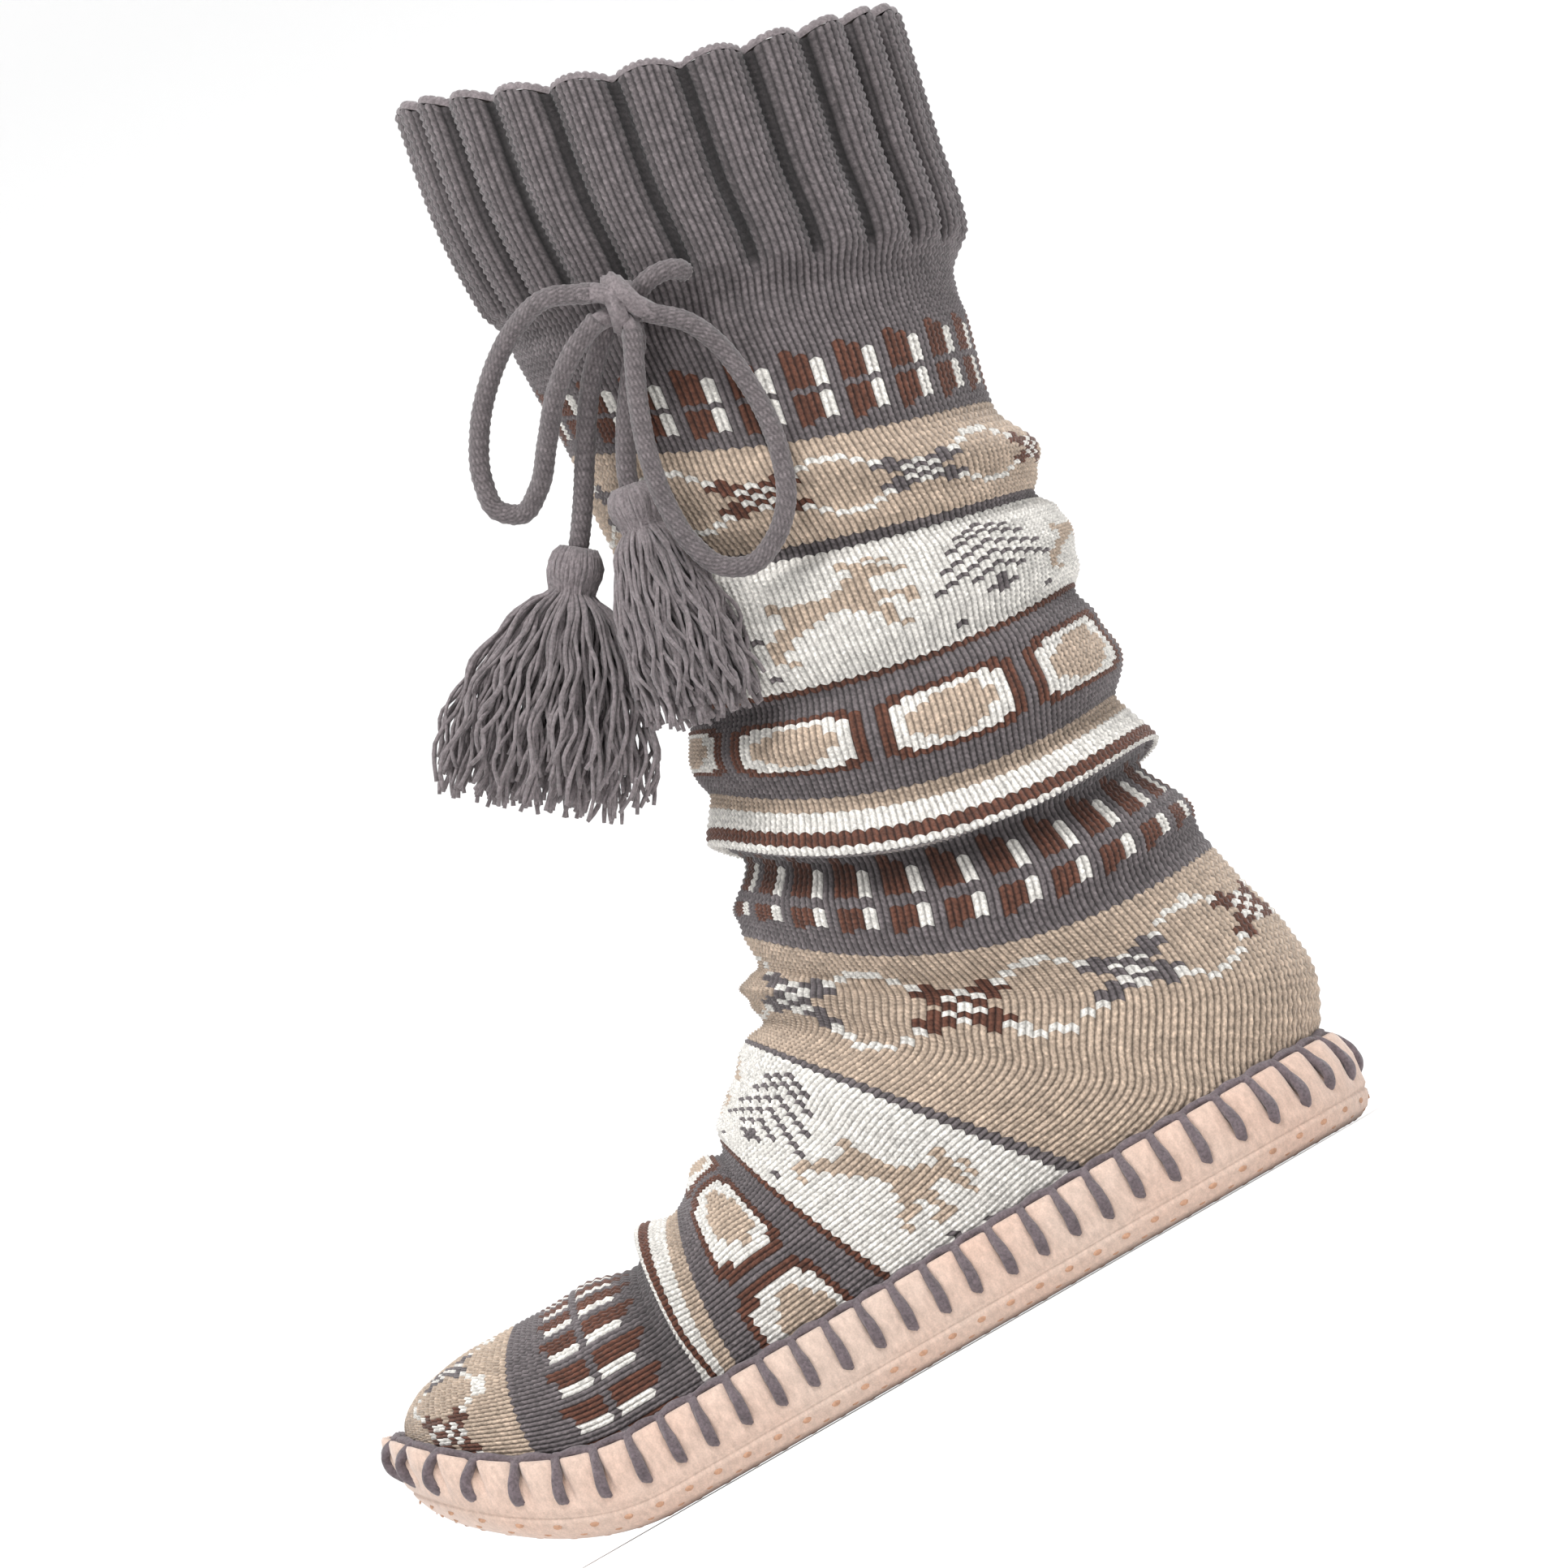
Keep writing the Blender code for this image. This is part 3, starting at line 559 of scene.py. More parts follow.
def new_material(name, colour, roughness):
    """Material with its tree, shader, and object coordinates."""
    result = bpy.data.materials.new(name)
    result.use_nodes = True
    tree = result.node_tree
    shader = tree.nodes["Principled BSDF"]
    shader.inputs["Base Color"].default_value = (*colour, 1.0)
    shader.inputs["Roughness"].default_value = roughness
    result.diffuse_color = (*colour, 1.0)
    place_node = tree.nodes.new("ShaderNodeTexCoord")
    return result, tree, shader, place_node.outputs["Object"]


def noise(tree, where, scale, detail, stretch=None):
    """Noise texture over the object, stretched if asked."""
    if stretch is not None:
        mapping = tree.nodes.new("ShaderNodeMapping")
        mapping.inputs["Scale"].default_value = stretch
        tree.links.new(where, mapping.inputs["Vector"])
        where = mapping.outputs["Vector"]
    node = tree.nodes.new("ShaderNodeTexNoise")
    node.inputs["Scale"].default_value = scale
    node.inputs["Detail"].default_value = detail
    tree.links.new(where, node.inputs["Vector"])
    return node.outputs["Fac"]


def remap(tree, value, low, high, to_low, to_high):
    """Clamped change of range."""
    node = tree.nodes.new("ShaderNodeMapRange")
    sockets = ("From Min", "From Max", "To Min", "To Max")
    for socket, number in zip(sockets, (low, high, to_low, to_high)):
        node.inputs[socket].default_value = number
    tree.links.new(value, node.inputs["Value"])
    return node.outputs["Result"]


def plain(tree, colour):
    """Colour as a node's output."""
    source = tree.nodes.new("ShaderNodeRGB")
    source.outputs[0].default_value = (*colour, 1.0)
    return source.outputs[0]


def shade_with(tree, shader, colour, *layers):
    """Links a colour times each layer's factor: a noise, and the factor where it is low and high."""
    for value, dark, light in layers:
        node = tree.nodes.new("ShaderNodeVectorMath")
        node.operation = "SCALE"
        tree.links.new(colour, node.inputs[0])
        tree.links.new(remap(tree, value, 0.30, 0.70, dark, light), node.inputs["Scale"])
        colour = node.outputs["Vector"]
    tree.links.new(colour, shader.inputs["Base Color"])


def bump_with(tree, shader, *layers):
    """Links bumps laid over one another: each a height, a strength and a distance."""
    normal = None
    for height, strength, distance in layers:
        node = tree.nodes.new("ShaderNodeBump")
        node.inputs["Strength"].default_value = strength
        node.inputs["Distance"].default_value = distance
        tree.links.new(height, node.inputs["Height"])
        if normal is not None:
            tree.links.new(normal, node.inputs["Normal"])
        normal = node.outputs["Normal"]
    tree.links.new(normal, shader.inputs["Normal"])


def soften(shader, sheen, sheen_roughness, specular):
    """Soft sheen and a weak highlight."""
    shader.inputs["Sheen Weight"].default_value = sheen
    shader.inputs["Sheen Roughness"].default_value = sheen_roughness
    shader.inputs["Specular IOR Level"].default_value = specular


def wool(name, colour=None):
    """Wool yarn: fine fibres, mottled dye and a soft sheen. Without a colour it reads the colour
    attribute of the stitches, which holds the yarn's colour with painted shade in the grooves and
    folds.
    """
    result, tree, shader, where = new_material(name, colour or GREY, 0.92)
    if colour is None:
        source = tree.nodes.new("ShaderNodeAttribute")
        source.attribute_name = "yarn"
        base = source.outputs["Color"]
    else:
        base = plain(tree, colour)
    fibre = noise(tree, where, 1500.0, 4.0)
    mottle = noise(tree, where, 420.0, 3.0)
    broad = noise(tree, where, 26.0, 2.0)
    shade_with(tree, shader, base, (fibre, 0.66, 1.28), (mottle, 0.84, 1.16), (broad, 0.93, 1.06))
    bump_with(tree, shader, (fibre, 0.55, 0.00035), (mottle, 0.35, 0.0005))
    soften(shader, 0.25, 0.6, 0.2)
    return result


def suede_material():
    """Suede: brushed nap with light and dark strokes, fine grain and a little dirt."""
    result, tree, shader, where = new_material("suede", SUEDE_COLOUR, 0.95)
    nap = noise(tree, where, 900.0, 5.0, (1.0, 1.0, 0.45))
    cloud = noise(tree, where, 38.0, 4.0)
    pores = noise(tree, where, 2600.0, 2.0)
    worn = tree.nodes.new("ShaderNodeMix")
    worn.data_type = "RGBA"
    tree.links.new(remap(tree, cloud, 0.35, 0.70, 0.0, 0.8), worn.inputs["Factor"])
    worn.inputs["A"].default_value = (*SUEDE_COLOUR, 1.0)
    worn.inputs["B"].default_value = (*WORN_SUEDE, 1.0)
    shade_with(tree, shader, worn.outputs["Result"], (nap, 0.86, 1.10), (pores, 0.90, 1.06))
    bump_with(tree, shader, (nap, 0.35, 0.0004), (pores, 0.25, 0.00015))
    soften(shader, 0.35, 0.5, 0.15)
    return result


def plush_material(name, colour, spread):
    """Short pile or printed dots: mottled, with fine bump."""
    result, tree, shader, where = new_material(name, colour, 0.9)
    pile = noise(tree, where, 1100.0, 4.0)
    shade_with(tree, shader, plain(tree, colour), (pile, 1 - spread, 1 + spread))
    bump_with(tree, shader, (pile, 0.5, 0.0006))
    return result


def knit_rows():
    """Section rows at which each knitted row starts, with more rows around the heel."""
    first, last = HEEL_ROWS
    return np.concatenate([
        np.arange(0, first, 1.0),
        np.linspace(first, last, HEEL_ROW_COUNT, endpoint=False),
        np.arange(last, LAST_ROW + 0.1, 1.0),
    ])


def even_angles(row, turns):
    """Angles that lie evenly around a ring of the tube, as the wales do."""
    fine = np.linspace(0, 2 * math.pi, 181)
    ring = tube(np.full_like(fine, row), fine)[0]
    run = lengths_along(ring)
    return np.interp(turns % 1.0, run / run[-1], fine) + 2 * math.pi * np.floor(turns)


def chart_colours(rows, point):
    """Yarn colour of every stitch from the bands' charts, around the heel by the length knitted."""
    result = np.zeros((len(rows) - 1, WALES, 3))
    wales = np.arange(WALES)
    centres = (rows[:-1] + rows[1:]) / 2
    steps = np.linalg.norm(np.diff(point[::ROW_LINES, ::WALE_COLUMNS], axis=0), axis=2)
    run = np.cumsum(steps, axis=0) - steps / 2
    first = 0
    for last, chart, shift in BANDS:
        band = np.nonzero((centres >= first) & (centres < last))[0]
        share = (centres[band, None] - first) / (last - first)
        if first == HEEL_ROWS[0]:
            start = run[band[0]] - steps[band[0]] / 2
            whole = run[band[-1]] + steps[band[-1]] / 2 - start
            share = (run[band] - start) / np.minimum(whole, len(chart) * HEEL_STITCH)
        line = np.clip((share * len(chart)).astype(int), 0, len(chart) - 1)
        paint = np.array([[YARNS[letter] for letter in (wide * REPEAT)[:REPEAT]] for wide in chart])
        result[band] = paint[line, (wales + shift) % REPEAT]
        first = last
    return result


def stitch_columns():
    """Every column's place around the tube, its place across its wale, and its leg's height."""
    number = np.arange(WALES * WALE_COLUMNS)
    across = (number % WALE_COLUMNS) / WALE_COLUMNS
    return number / len(number), across, np.sin(2 * math.pi * across) ** 2


def in_folds(point, normal):
    """How deep each point lies in a fold, from 0 to 1, against the mean of the lines near it; the mask
    of the painted fold shade.
    """
    window = 2 * FOLD_SPAN + 1
    padded = np.pad(point, ((FOLD_SPAN + 1, FOLD_SPAN), (0, 0), (0, 0)), mode="edge")
    padded[0] = 0
    sums = np.cumsum(padded, axis=0)
    level = (sums[window:] - sums[:-window]) / window
    return step(np.sum((level - point) * normal, axis=2) / FOLD_DEPTH)


def knit_grid(rows):
    """Vertices of the knitted face: two slanting legs a stitch, rising towards the cuff. Also the
    painted shade of each vertex: darker in the grooves between legs, on the lines between rows, in the
    ribs' hollows and in the folds, times the yarn's random heather tone.
    """
    lines = np.sort(np.concatenate([rows, (rows[:-1] + rows[1:]) / 2]))
    turns, across, leg = stitch_columns()
    apex = 1 - np.abs(2 * across - 1)
    pitch = np.gradient(lines) * ROW_LINES
    row = np.clip(lines[:, None] + (0.5 - apex) * LEG_SHEAR * pitch[:, None], 0.0, LAST_ROW)
    angle = np.stack([even_angles(line, turns) for line in lines])
    point, outward, _ = knit_surface(row, angle)
    along = np.gradient(point, axis=0)
    around = np.roll(point, -1, axis=1) - np.roll(point, 1, axis=1)
    normal = np.cross(along, around)
    normal /= np.maximum(np.linalg.norm(normal, axis=2, keepdims=True), 1e-9)
    normal *= np.sign(np.sum(normal * outward, axis=(0, 1, 2)))
    # Painted shade in the folds: the deeper a point lies in a fold, the darker its colour.
    fold = in_folds(point, normal)
    beat = np.where(np.arange(len(lines)) % ROW_LINES == 1, 1.0, LOW_LINE)
    height = LEG_RELIEF * leg * beat[:, None] - KNIT_SINK
    point = point + normal * height[..., None]
    ribbed, ridge = ribs(row, angle)
    # Painted shade in the hollows between the cuff's ribs, in the grooves between legs and on the lines
    # between rows.
    hollow = ribbed * (1 - step(ridge / 0.85))
    shade = GROOVE_SHADE + (1 - GROOVE_SHADE) * leg ** 0.8
    shade = shade * (1 - LINE_SHADE + LINE_SHADE * beat)[:, None]
    legs = np.random.default_rng(7).uniform(1 - HEATHER, 1 + HEATHER, (len(rows), WALES * 2))
    shade *= np.repeat(np.repeat(legs, ROW_LINES, axis=0)[:len(lines)], WALE_COLUMNS // 2, axis=1)
    return point, shade * (1 - RIB_SHADE * hollow) * (1 - FOLD_SHADE * fold)


def above_seam(points, quads):
    """Which quads reach above the sole's inner edge, and the points lifted by the toe spring."""
    keep = points[quads][:, :, 2].max(axis=1) > SEAM_HEIGHT - LAP
    points = points.copy()
    points[:, 2] += lift(points[:, 0])
    return keep, points


def knit_pieces(finish):
    """The knitted face in four pieces of real stitches, cut off inside the sole's edge."""
    rows = knit_rows()
    point, shade = knit_grid(rows)
    colours = chart_colours(rows, point)
    columns = point.shape[1]
    cuts = (0, 72, 144, 212, len(rows) - 1)
    names = ("knit_cuff", "knit_shaft", "knit_instep", "knit_toe")
    for name, first, last in zip(names, cuts, cuts[1:]):
        part = point[first * ROW_LINES:last * ROW_LINES + 1].reshape(-1, 3)
        quads = grid_faces((last - first) * ROW_LINES + 1, columns)
        yarn = np.repeat(np.repeat(colours[first:last], ROW_LINES, axis=0), WALE_COLUMNS, axis=1)
        yarn = yarn.reshape(-1, 3)
        # Painted shade of each corner, raised to a smaller power on pale yarns so that their grooves
        # stay lighter.
        depth = 1.15 - PALE_SHADE * yarn.mean(axis=1)
        corners = shade[first * ROW_LINES:].ravel()[quads] ** depth[:, None]
        paint = yarn[:, None, :] * corners[..., None]
        keep, part = above_seam(part, quads)
        place(make_mesh(name, part, quads[keep], finish, paint[keep]), "knit", "upper")


def knit_rim(finish):
    """The cuff's edge, rolled over to the inside."""
    turns, _, leg = stitch_columns()
    point, outward, downward = knit_surface(np.zeros_like(turns), even_angles(0.0, turns))
    lines = []
    for turn in np.linspace(0, math.pi, 9):
        radius = RIM_RADIUS + LEG_RELIEF * 0.5 * leg * math.sin(turn)
        inward = KNIT_SINK + RIM_RADIUS - radius * math.cos(turn)
        rise = radius * math.sin(turn)
        lines.append(point - outward * inward[:, None] - downward * rise[:, None])
    quads = grid_faces(len(lines), len(turns))
    place(make_mesh("knit_rim", np.concatenate(lines), quads, finish), "knit", "upper")


def knit_inside(finish):
    """Inside of the tube, down to the seam."""
    rows = np.concatenate([np.arange(0, LAST_ROW, 2.0), [LAST_ROW - 0.5]])
    angle = np.stack([even_angles(row, np.arange(WALES) / WALES) for row in rows])
    row = np.repeat(rows[:, None], WALES, axis=1)
    point, outward, _ = knit_surface(row, angle)
    point = point - outward * (KNIT_SINK + 2 * RIM_RADIUS)
    quads = grid_faces(len(rows), WALES)
    keep, point = above_seam(point.reshape(-1, 3), quads)
    place(make_mesh("knit_inside", point, quads[keep][:, ::-1], finish), "knit", "upper")


def sole_profile():
    """Offsets and heights of the sheet from the middle of the underside to the inner floor."""
    side = SEAM_GAP + SUEDE
    wall = SIDE_PUFF + side
    low = (
        (1.0, 0.0003), (0.62, SOLE_EDGE * 0.06), (0.30, SOLE_EDGE * 0.24), (0.11, SOLE_EDGE * 0.52),
        (0.08, CREASE - 0.0006), (0.12, CREASE), (0.02, CREASE + 0.0009),
    )
    high = ((1.0, 0.42), (1.0, 0.55), (0.92, 0.70), (0.70, 0.83), (0.42, 0.93), (0.10, 0.985))
    edge = ((0.55, 1.0), (0.1, 0.985), (0.0, 0.93))
    return (
        [(wall - SOLE_EDGE * share, height) for share, height in low]
        + [(SIDE_PUFF * share + side, SEAM_HEIGHT * height) for share, height in high]
        + [(SEAM_GAP + SUEDE * share, SEAM_HEIGHT * height) for share, height in edge]
    )


class SoleShape:
    """Outlines of the suede sole, with its surface at any stitch and height."""

    def __init__(self):
        self.count = STITCH_COUNT * PER_STITCH
        self.seam = outline(SEAM_HEIGHT, self.count)
        self.inside = outline(SEAM_HEIGHT - LAP, self.count)
        self.normal = outward_normals(self.seam)

    def lean(self, stitch):
        """How far a stitch square to the sole's lifted edge leans towards the toe over its length."""
        x = self.at(stitch, 0.0, 0.0).x
        slope = float(lift(x) - lift(x + 0.001)) / 0.001
        if stitch > STITCH_COUNT / 2:
            slope = -slope
        return -max(-LARGEST_LEAN, min(LARGEST_LEAN, 0.7 * slope * STITCH_LENGTH / 0.0095))

    def rows(self):
        """Every line of the outer sheet, dented at the stitches and puffed between them."""
        phase = (np.arange(self.count) % PER_STITCH) / PER_STITCH
        away = np.minimum(phase, 1 - phase)
        notch = np.exp(-(away / 0.11) ** 2)
        puff = np.sin(math.pi * phase) ** 0.8
        corner = np.clip(away / 0.2, 0, 1)
        tab = np.sqrt(1 - (1 - corner) ** 2)
        lines = []
        for offset, height in sole_profile():
            upper = float(step((height / SEAM_HEIGHT - 0.42) / 0.3))
            top = float(step((height / SEAM_HEIGHT - 0.75) / 0.25))
            out = offset + upper * (SCALLOP_PUFF * puff - STITCH_DENT * notch)
            rise = height + top * SCALLOP_RISE * (tab - 0.6)
            plan = self.seam + self.normal * out[:, None]
            lines.append(np.column_stack([plan, rise + lift(plan[:, 0])]))
        return lines

    def at(self, stitch, offset, height):
        """Point beside the seam outline: stitch number, offset outwards, height."""
        share, low = math.modf(stitch * PER_STITCH % self.count)
        ends = [int(low), (int(low) + 1) % self.count]
        plan = np.dot((1 - share, share), self.seam[ends] + self.normal[ends] * offset)
        return Vector((*plan, height + float(lift(plan[0]))))


def make_sole(shape, finish):
    """Suede sheet: flat underside, puffed side, scalloped edge and inner side."""
    lines = shape.rows()
    normal = outward_normals(shape.inside)
    for offset, height in ((SEAM_GAP, SEAM_HEIGHT - LAP), (SEAM_GAP, SUEDE + FLOOR_EDGE),
                           (SEAM_GAP - FLOOR_EDGE * 0.6, SUEDE)):
        plan = shape.inside + normal * offset
        lines.append(np.column_stack([plan, height + lift(plan[:, 0])]))
    count = shape.count
    faces = [grid_faces(len(lines), count)]
    for first in (0, (len(lines) - 1) * count):
        k = np.arange(count // 2)
        left, right = first + k, first + (count - k) % count
        left_next, right_next = first + k + 1, first + (count - k - 1) % count
        ladder = np.stack([left, left_next, right_next, right], axis=1)
        faces.append(ladder[1:-1] if first == 0 else ladder[1:-1][:, ::-1])
    piece = make_mesh("suede_sole", np.concatenate(lines), np.concatenate(faces), finish)
    place(piece, "suede", "sole")


def sweep(points, widths, reference):
    """Closed tube along points, with the radii of each ring: vertices and triangles."""
    tangent = unit(np.gradient(points, axis=0))
    side = np.cross(tangent[0], reference)
    sides = widths.shape[1]
    theta = np.arange(sides) * 2 * math.pi / sides
    rings = []
    for point, ahead, width in zip(points, tangent, widths):
        side = unit(side - ahead * np.dot(side, ahead))
        other = np.cross(ahead, side)
        ring = point + np.outer(np.cos(theta) * width, side)
        rings.append(ring + np.outer(np.sin(theta) * width, other))
    quads = grid_faces(len(points), sides)[:, ::-1]
    k = np.arange(sides)
    n = (k + 1) % sides
    base = (len(points) - 1) * sides
    caps = np.concatenate([
        np.stack([n, k, np.full(sides, base + sides)], axis=1),
        np.stack([base + k, base + n, np.full(sides, base + sides + 1)], axis=1),
    ])
    vertices = np.concatenate(rings + [points[:1], points[-1:]])
    return vertices, np.concatenate([quads[:, [0, 1, 2]], quads[:, [0, 2, 3]], caps])


def yarn_tube(points, radius, sides, plies, twist, shape_along=None):
    """Twisted yarn along points: vertices and triangles, with grooves between its plies."""
    points = np.asarray([tuple(p) for p in points])
    run = lengths_along(points)
    theta = np.arange(sides) * 2 * math.pi / sides
    groove = 0.84 + 0.16 * np.cos(plies * theta - twist * run[:, None])
    swell = np.interp(run / run[-1], *shape_along)[:, None] if shape_along else 1.0
    return sweep(points, radius * swell * groove, (0.31, 0.57, 0.76))


def join_tubes(name, tubes, finish):
    """One piece from many tubes."""
    starts = np.cumsum([0] + [len(vertices) for vertices, _ in tubes])
    faces = [triangles + start for (_, triangles), start in zip(tubes, starts)]
    vertices = [vertices for vertices, _ in tubes]
    return make_mesh(name, np.concatenate(vertices), np.concatenate(faces), finish)


def smooth_path(points, spacing):
    """Evenly spaced points on a smooth curve through the given ones."""
    points = np.asarray([tuple(p) for p in points])
    run = lengths_along(points)
    count = max(4, int(round(run[-1] / spacing)) + 1)
    places = np.linspace(0, run[-1], count)
    return np.stack([smooth(run, points[:, axis], places) for axis in range(3)], axis=1)


def whip_stitches(shape, finish):
    """Grey yarn stitches over the sole's edge, square to it, and the yarn between them."""
    tubes = []
    side = SEAM_GAP + SUEDE + SIDE_PUFF
    for number in range(STITCH_COUNT):
        lean = shape.lean(number) + rng.uniform(-0.03, 0.05) * (1 if number < STITCH_COUNT / 2 else -1)
        low = SEAM_HEIGHT - STITCH_LENGTH + rng.uniform(-0.0005, 0.0005)
        route = []
        for base, places in ((low, STITCH_FOOT), (SEAM_HEIGHT, STITCH_HEAD)):
            for share, out, rise in places:
                route.append(shape.at(number + lean * share, side + out, base + rise))
        tubes.append(yarn_tube(smooth_path(route, 0.0006), STITCH_RADIUS, 12, 3, 560.0, STITCH_SWELL))
    place(join_tubes("whip_stitches", tubes, finish), "cord")
    edge = []
    for k in range(STITCH_COUNT * 8 + 1):
        rise = 0.0006 + 0.0008 * math.sin(math.pi * (k % 8) / 8)
        edge.append(shape.at(k / 8, SEAM_GAP + 0.0002, SEAM_HEIGHT + rise))
    place(join_tubes("seam_yarn", [yarn_tube(edge, EDGE_RADIUS, 10, 3, 520.0)], finish), "cord")


def make_dots(shape, finish):
    """Small oval grip dots in staggered rows, under the sole and up its rounded lower edge."""
    vertices = []
    faces = []
    turn = np.arange(8) * math.pi / 4

    def add_dot(centre, along, across, out):
        start = len(vertices)
        side = np.outer(1.25 * np.cos(turn), along) + np.outer(0.85 * np.sin(turn), across)
        for reach, rise in ((1.0, -0.00005), (0.72, 0.00016)):
            vertices.extend(centre + side * (reach * DOT_SIZE) + out * rise)
        vertices.append(centre + out * 0.0002)
        for k in range(8):
            low, after = start + k, start + (k + 1) % 8
            faces.extend([
                (low, after, after + 8), (low, after + 8, low + 8), (low + 8, after + 8, start + 16),
            ])

    flat = SIDE_PUFF + SEAM_GAP + SUEDE - SOLE_EDGE
    rim = shape.seam + shape.normal * (flat - 0.0025)
    half = shape.count // 2
    outer = rim[:half][::-1]
    inner = rim[half:]
    pitch = DOT_PITCH * 0.87
    for i in range(int(np.ptp(rim[:, 0]) / pitch) + 1):
        x = rim[:, 0].min() + i * pitch
        low = np.interp(x, outer[:, 0], outer[:, 1])
        high = np.interp(x, inner[:, 0], inner[:, 1])
        for j in range(-8, 9):
            y = (j + 0.5 * (i % 2)) * DOT_PITCH
            if low < y < high:
                centre = np.array([x, y, float(lift(x)) + 0.0002])
                add_dot(centre, (1, 0, 0), (0, -1, 0), np.array([0, 0, -1]))
    girth = float(np.sum(np.linalg.norm(np.roll(shape.seam, -1, axis=0) - shape.seam, axis=1)))
    count = int(girth / DOT_PITCH)
    for line, (share, height) in enumerate(((0.22, 0.06), (0.60, 0.21), (0.86, 0.46))):
        offset = flat + share * SOLE_EDGE
        for k in range(count):
            stitch = (k + 0.5 * line) * STITCH_COUNT / count
            centre = np.array(shape.at(stitch, offset, height * SOLE_EDGE))
            ahead = unit(np.array(shape.at(stitch + 0.1, offset, height * SOLE_EDGE)) - centre)
            out = np.array(shape.at(stitch, offset + 0.001, height * SOLE_EDGE)) - centre
            out = unit(out * 1000 * share + np.array([0, 0, share - 1.05]))
            add_dot(centre, ahead, np.cross(out, ahead), out)
    place(make_mesh("grip_dots", np.array(vertices), np.array(faces), finish), "suede")


def cord_mesh(name, route, finish, *nodes):
    """Knitted cord along a route: a round tube with slanting stitches, and its centre points."""
    points = smooth_path(route, CORD_STEP)
    across = np.arange(CORD_WALES * 4) / 4 % 1.0
    apex = 1 - np.abs(2 * across - 1)
    leg = np.sin(2 * math.pi * across + 0.6) ** 2
    run = lengths_along(points)[:, None]
    loop = np.sin(math.pi * (run / CORD_ROW + 0.9 * apex)) ** 2 * leg
    vertices, triangles = sweep(points, CORD / 2 * (0.84 + 0.17 * loop), (0.0, 1.0, 0.1))
    # Painted shade: the cord's colour is darker where its surface dips between the stitches' loops.
    shade = np.concatenate([0.40 + loop.ravel(), [0.5, 0.5]])
    piece = make_mesh(name, vertices, triangles, finish, np.array(GREY) * shade[triangles][..., None])
    place(piece, "cord", *nodes)
    return piece, points


def knot_inside(name, end):
    """Point a little inside the knot, ahead of one end of a cord's route."""
    last, before = ROUTES[name][end], ROUTES[name][1 if end == 0 else -2]
    ahead = (Vector(last) - Vector(before)).normalized()
    return tuple(Vector(last) + ahead * TUCK)


def loop_route(name):
    """A loop's route with both its ends tucked into the knot."""
    return [knot_inside(name, 0)] + list(ROUTES[name]) + [knot_inside(name, -1)]


def tassel_inside(node):
    """Point inside a tassel's head, where its cord ends."""
    top, hem = (Vector(place_) for place_ in TASSELS[node][:2])
    return tuple(top + (hem - top).normalized() * TUCK)


def make_knot(finish):
    """Bow knot: cord wrapped around the strands, with their bends at its sides."""
    tubes = []
    turn = np.linspace(0, 2 * math.pi, 25)
    for lean, wide, deep, x, z in KNOT_WRAPS:
        high = wide * np.sin(turn)
        route = np.stack([x + lean * high, deep * np.cos(turn), high + z], axis=1)
        tubes.append(yarn_tube(np.array(KNOT_CENTRE) + route, CORD * 0.48, 16, 6, 260.0))
    for points in KNOT_STRANDS:
        tubes.append(yarn_tube(smooth_path(points, 0.001), CORD * 0.49, 16, 6, 260.0))
    return place(join_tubes("bow_knot", tubes, finish), "cord", "cord_knot")


def make_tassel(name, finish, node):
    """Tassel of loose yarn: a head over the cord's end, a binding, and a skirt of wavy strands."""
    top, hem, half_width, half_depth = TASSELS[node]
    top = np.array(top)
    length = np.linalg.norm(hem - top)
    axis = unit(hem - top)
    across = unit(np.cross(axis, (0, -1, 0)))
    through = np.cross(across, axis)
    along = np.array(STRAND_PLACES)
    head = TASSEL_HEAD * np.interp(along, *HEAD_SHAPE)
    open_out = np.interp(along, *SKIRT_SHAPE)
    tubes = []
    for _ in range(STRANDS[node]):
        turn = 2 * math.pi * rng.random()
        spread = math.sqrt(rng.random())
        reach = rng.uniform(0.80, 1.10)
        phase = rng.uniform(0, 2 * math.pi)
        phase_2 = rng.uniform(0, 2 * math.pi)
        wave = rng.uniform(0.0005, 0.0017) * open_out
        turns = rng.uniform(10, 24) * along
        drift = rng.uniform(-0.0035, 0.0035) * open_out ** 2
        cover = np.array([
            max(spread, 0.80 + 0.2 * rng.random()) if share < 0.2 else spread for share in along
        ])
        wide = cover * (head + (half_width - 0.0005) * open_out) * math.cos(turn)
        deep = cover * (head + (half_depth - 0.0010) * open_out) * math.sin(turn)
        down = np.where(along < 0.25, along, 0.25 + (along - 0.25) * reach) * length
        wide += wave * np.sin(turns + phase) + drift
        deep += wave * np.sin(0.8 * turns + phase_2)
        route = top + np.outer(down, axis) + np.outer(wide, across) + np.outer(deep, through)
        radius = STRAND_RADIUS * rng.uniform(0.9, 1.2)
        tubes.append(yarn_tube(smooth_path(route, 0.0022), radius, 5, 2, 900.0))
    tubes.append(core_blob(top + np.outer(CORE_PLACES, axis) * length, CORE_RADII))
    coil = np.linspace(0, 6 * math.pi, 61)
    route = top + np.outer(length * TASSEL_TIE + np.linspace(-0.0011, 0.0011, 61), axis)
    route += TIE_RADIUS * (np.outer(np.cos(coil), across) + np.outer(np.sin(coil), through))
    tubes.append(yarn_tube(route, 0.00062, 8, 2, 900.0))
    return place(join_tubes(name, tubes, finish), "cord", node)


def core_blob(points, radii):
    """Filled core of a tassel's head."""
    vertices, triangles = yarn_tube(points, 1.0, 12, 1, 0.0)
    for k, radius in enumerate(radii):
        ring = slice(k * 12, (k + 1) * 12)
        vertices[ring] = points[k] + unit(vertices[ring] - points[k]) * radius
    return vertices, triangles


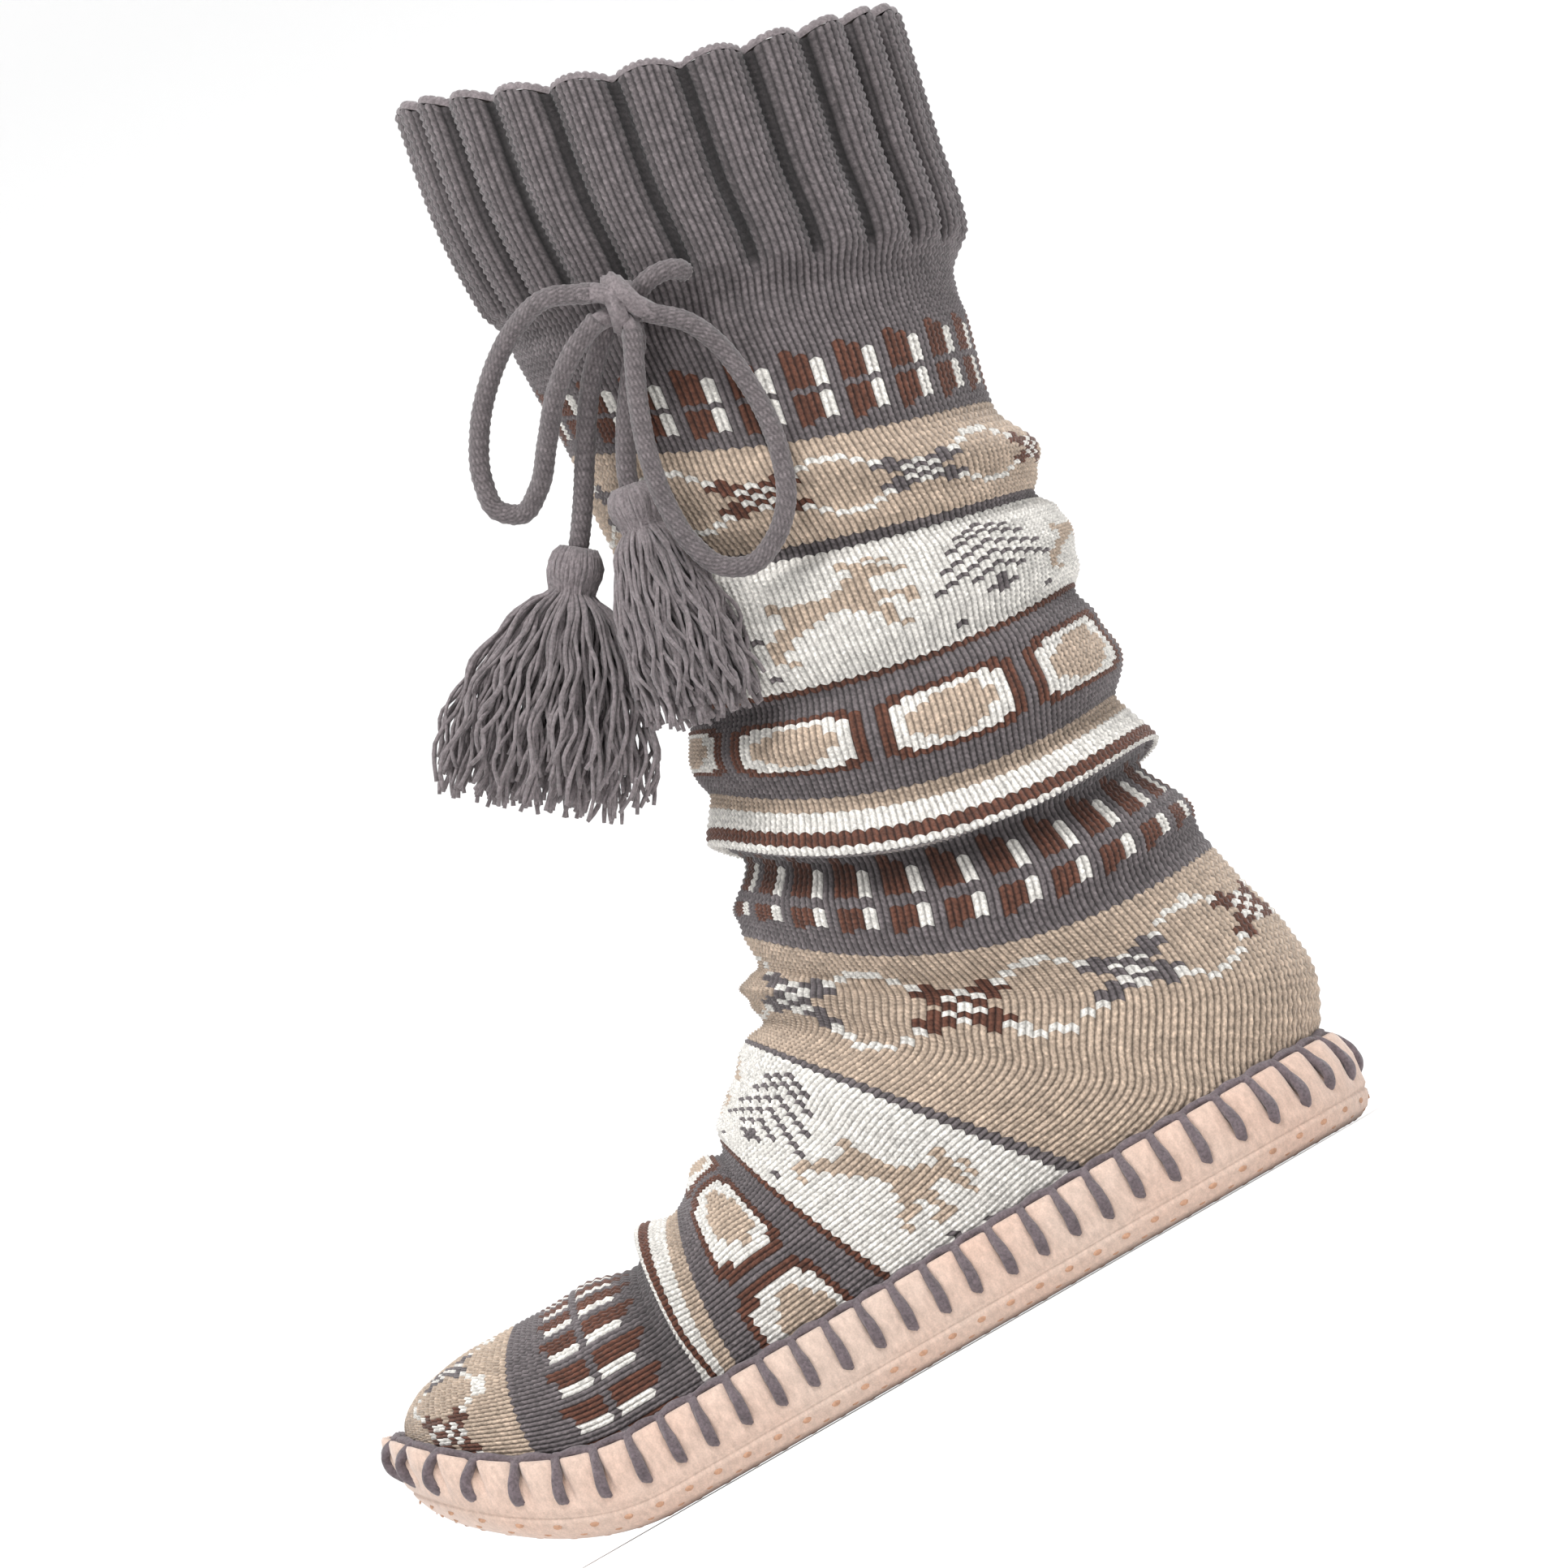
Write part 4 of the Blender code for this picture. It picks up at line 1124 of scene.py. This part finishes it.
def make_camera():
    """Camera near the floor on the outer side, rolled as in the picture."""
    data = bpy.data.cameras.new("camera")
    camera = bpy.data.objects.new("camera", data)
    bpy.context.scene.collection.objects.link(camera)
    place_ = Vector((AIM.x, -CAMERA_DISTANCE, CAMERA_HEIGHT))
    look = (AIM - place_).to_track_quat("-Z", "Y")
    turned = look.to_matrix() @ Matrix.Rotation(-ROLL, 3, "Z")
    camera.matrix_world = Matrix.Translation(place_) @ turned.to_4x4()
    distance = (AIM - place_).length
    data.lens = data.sensor_width * distance / PICTURE_WIDTH
    data.clip_start = 0.05
    data.clip_end = 50.0
    bpy.context.scene.camera = camera
    bpy.context.scene.view_settings.view_transform = "Standard"


def make_stage():
    """Pale seamless floor and soft lights."""
    finish = new_material("stage_floor", (0.93, 0.93, 0.93), 0.9)[0]
    profile = [(-4.0, 0.0), (1.6, 0.0)]
    for k in range(1, 13):
        angle = math.pi / 2 * k / 12
        profile.append((1.6 + 1.2 * math.sin(angle), 1.2 * (1 - math.cos(angle))))
    profile.append((2.8, 6.0))
    vertices = [(x, y, z - 0.0001) for y, z in profile for x in (-6.0, 6.0)]
    faces = [(2 * k, 2 * k + 1, 2 * k + 3, 2 * k + 2) for k in range(len(profile) - 1)]
    floor = make_mesh("floor", np.array(vertices), np.array(faces), finish)
    world = bpy.data.worlds.new("soft_light")
    world.use_nodes = True
    sky = world.node_tree.nodes["Background"].inputs
    sky["Color"].default_value = (1.0, 1.0, 1.0, 1.0)
    sky["Strength"].default_value = 0.66
    bpy.context.scene.world = world
    lamps = (
        ("key_light", (0.1, -1.5, 2.6), 0.9, 62.0),
        ("fill_light", (-1.9, -1.3, 1.5), 1.2, 10.0),
        ("back_light", (0.4, 1.6, 1.7), 1.4, 14.0),
    )
    for name, where, size, power in lamps:
        data = bpy.data.lights.new(name, "AREA")
        data.size = size
        data.energy = power
        lamp = bpy.data.objects.new(name, data)
        lamp.location = where
        lamp.rotation_mode = "QUATERNION"
        lamp.rotation_quaternion = (Vector((0, 0, 0.12)) - Vector(where)).to_track_quat("-Z", "Y")
        bpy.context.scene.collection.objects.link(lamp)


def main():
    """Builds every visible piece around the frame."""
    make_camera()
    grey_wool = wool("grey_wool", GREY)
    cord_wool = wool("cord_wool")
    front_route = [knot_inside("cord_tail_front", 0)] + list(ROUTES["cord_tail_front"])
    side, side_points = cord_mesh(
        "drawcord_side", list(SIDE_ROUTE) + [tassel_inside("tassel_side")], cord_wool,
        "cord_lead", "cord_tail_side")
    front, front_points = cord_mesh(
        "drawcord_front", front_route + [tassel_inside("tassel_front")], cord_wool, "cord_tail_front")
    loops = [
        cord_mesh("bow_" + name, loop_route("cord_" + name), cord_wool, "cord_" + name)
        for name in ("loop_front", "loop_side")
    ]
    knot = make_knot(grey_wool)
    tassel_front = make_tassel("yarn_tassel_front", grey_wool, "tassel_front")
    tassel_side = make_tassel("yarn_tassel_side", grey_wool, "tassel_side")
    knit_pieces(wool("knit_wool"))
    knit_rim(grey_wool)
    knit_inside(wool("knit_lining", LINING))
    shape = SoleShape()
    make_sole(shape, suede_material())
    whip_stitches(shape, wool("seam_wool", SEAM_GREY))
    make_dots(shape, plush_material("grip_dots", DOT_COLOUR, 0.2))
    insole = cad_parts["insole"]
    pile = plush_material("insole_pile", INSOLE, 0.25)
    for slot in insole.material_slots:
        slot.material = pile
    make_stage()


main()
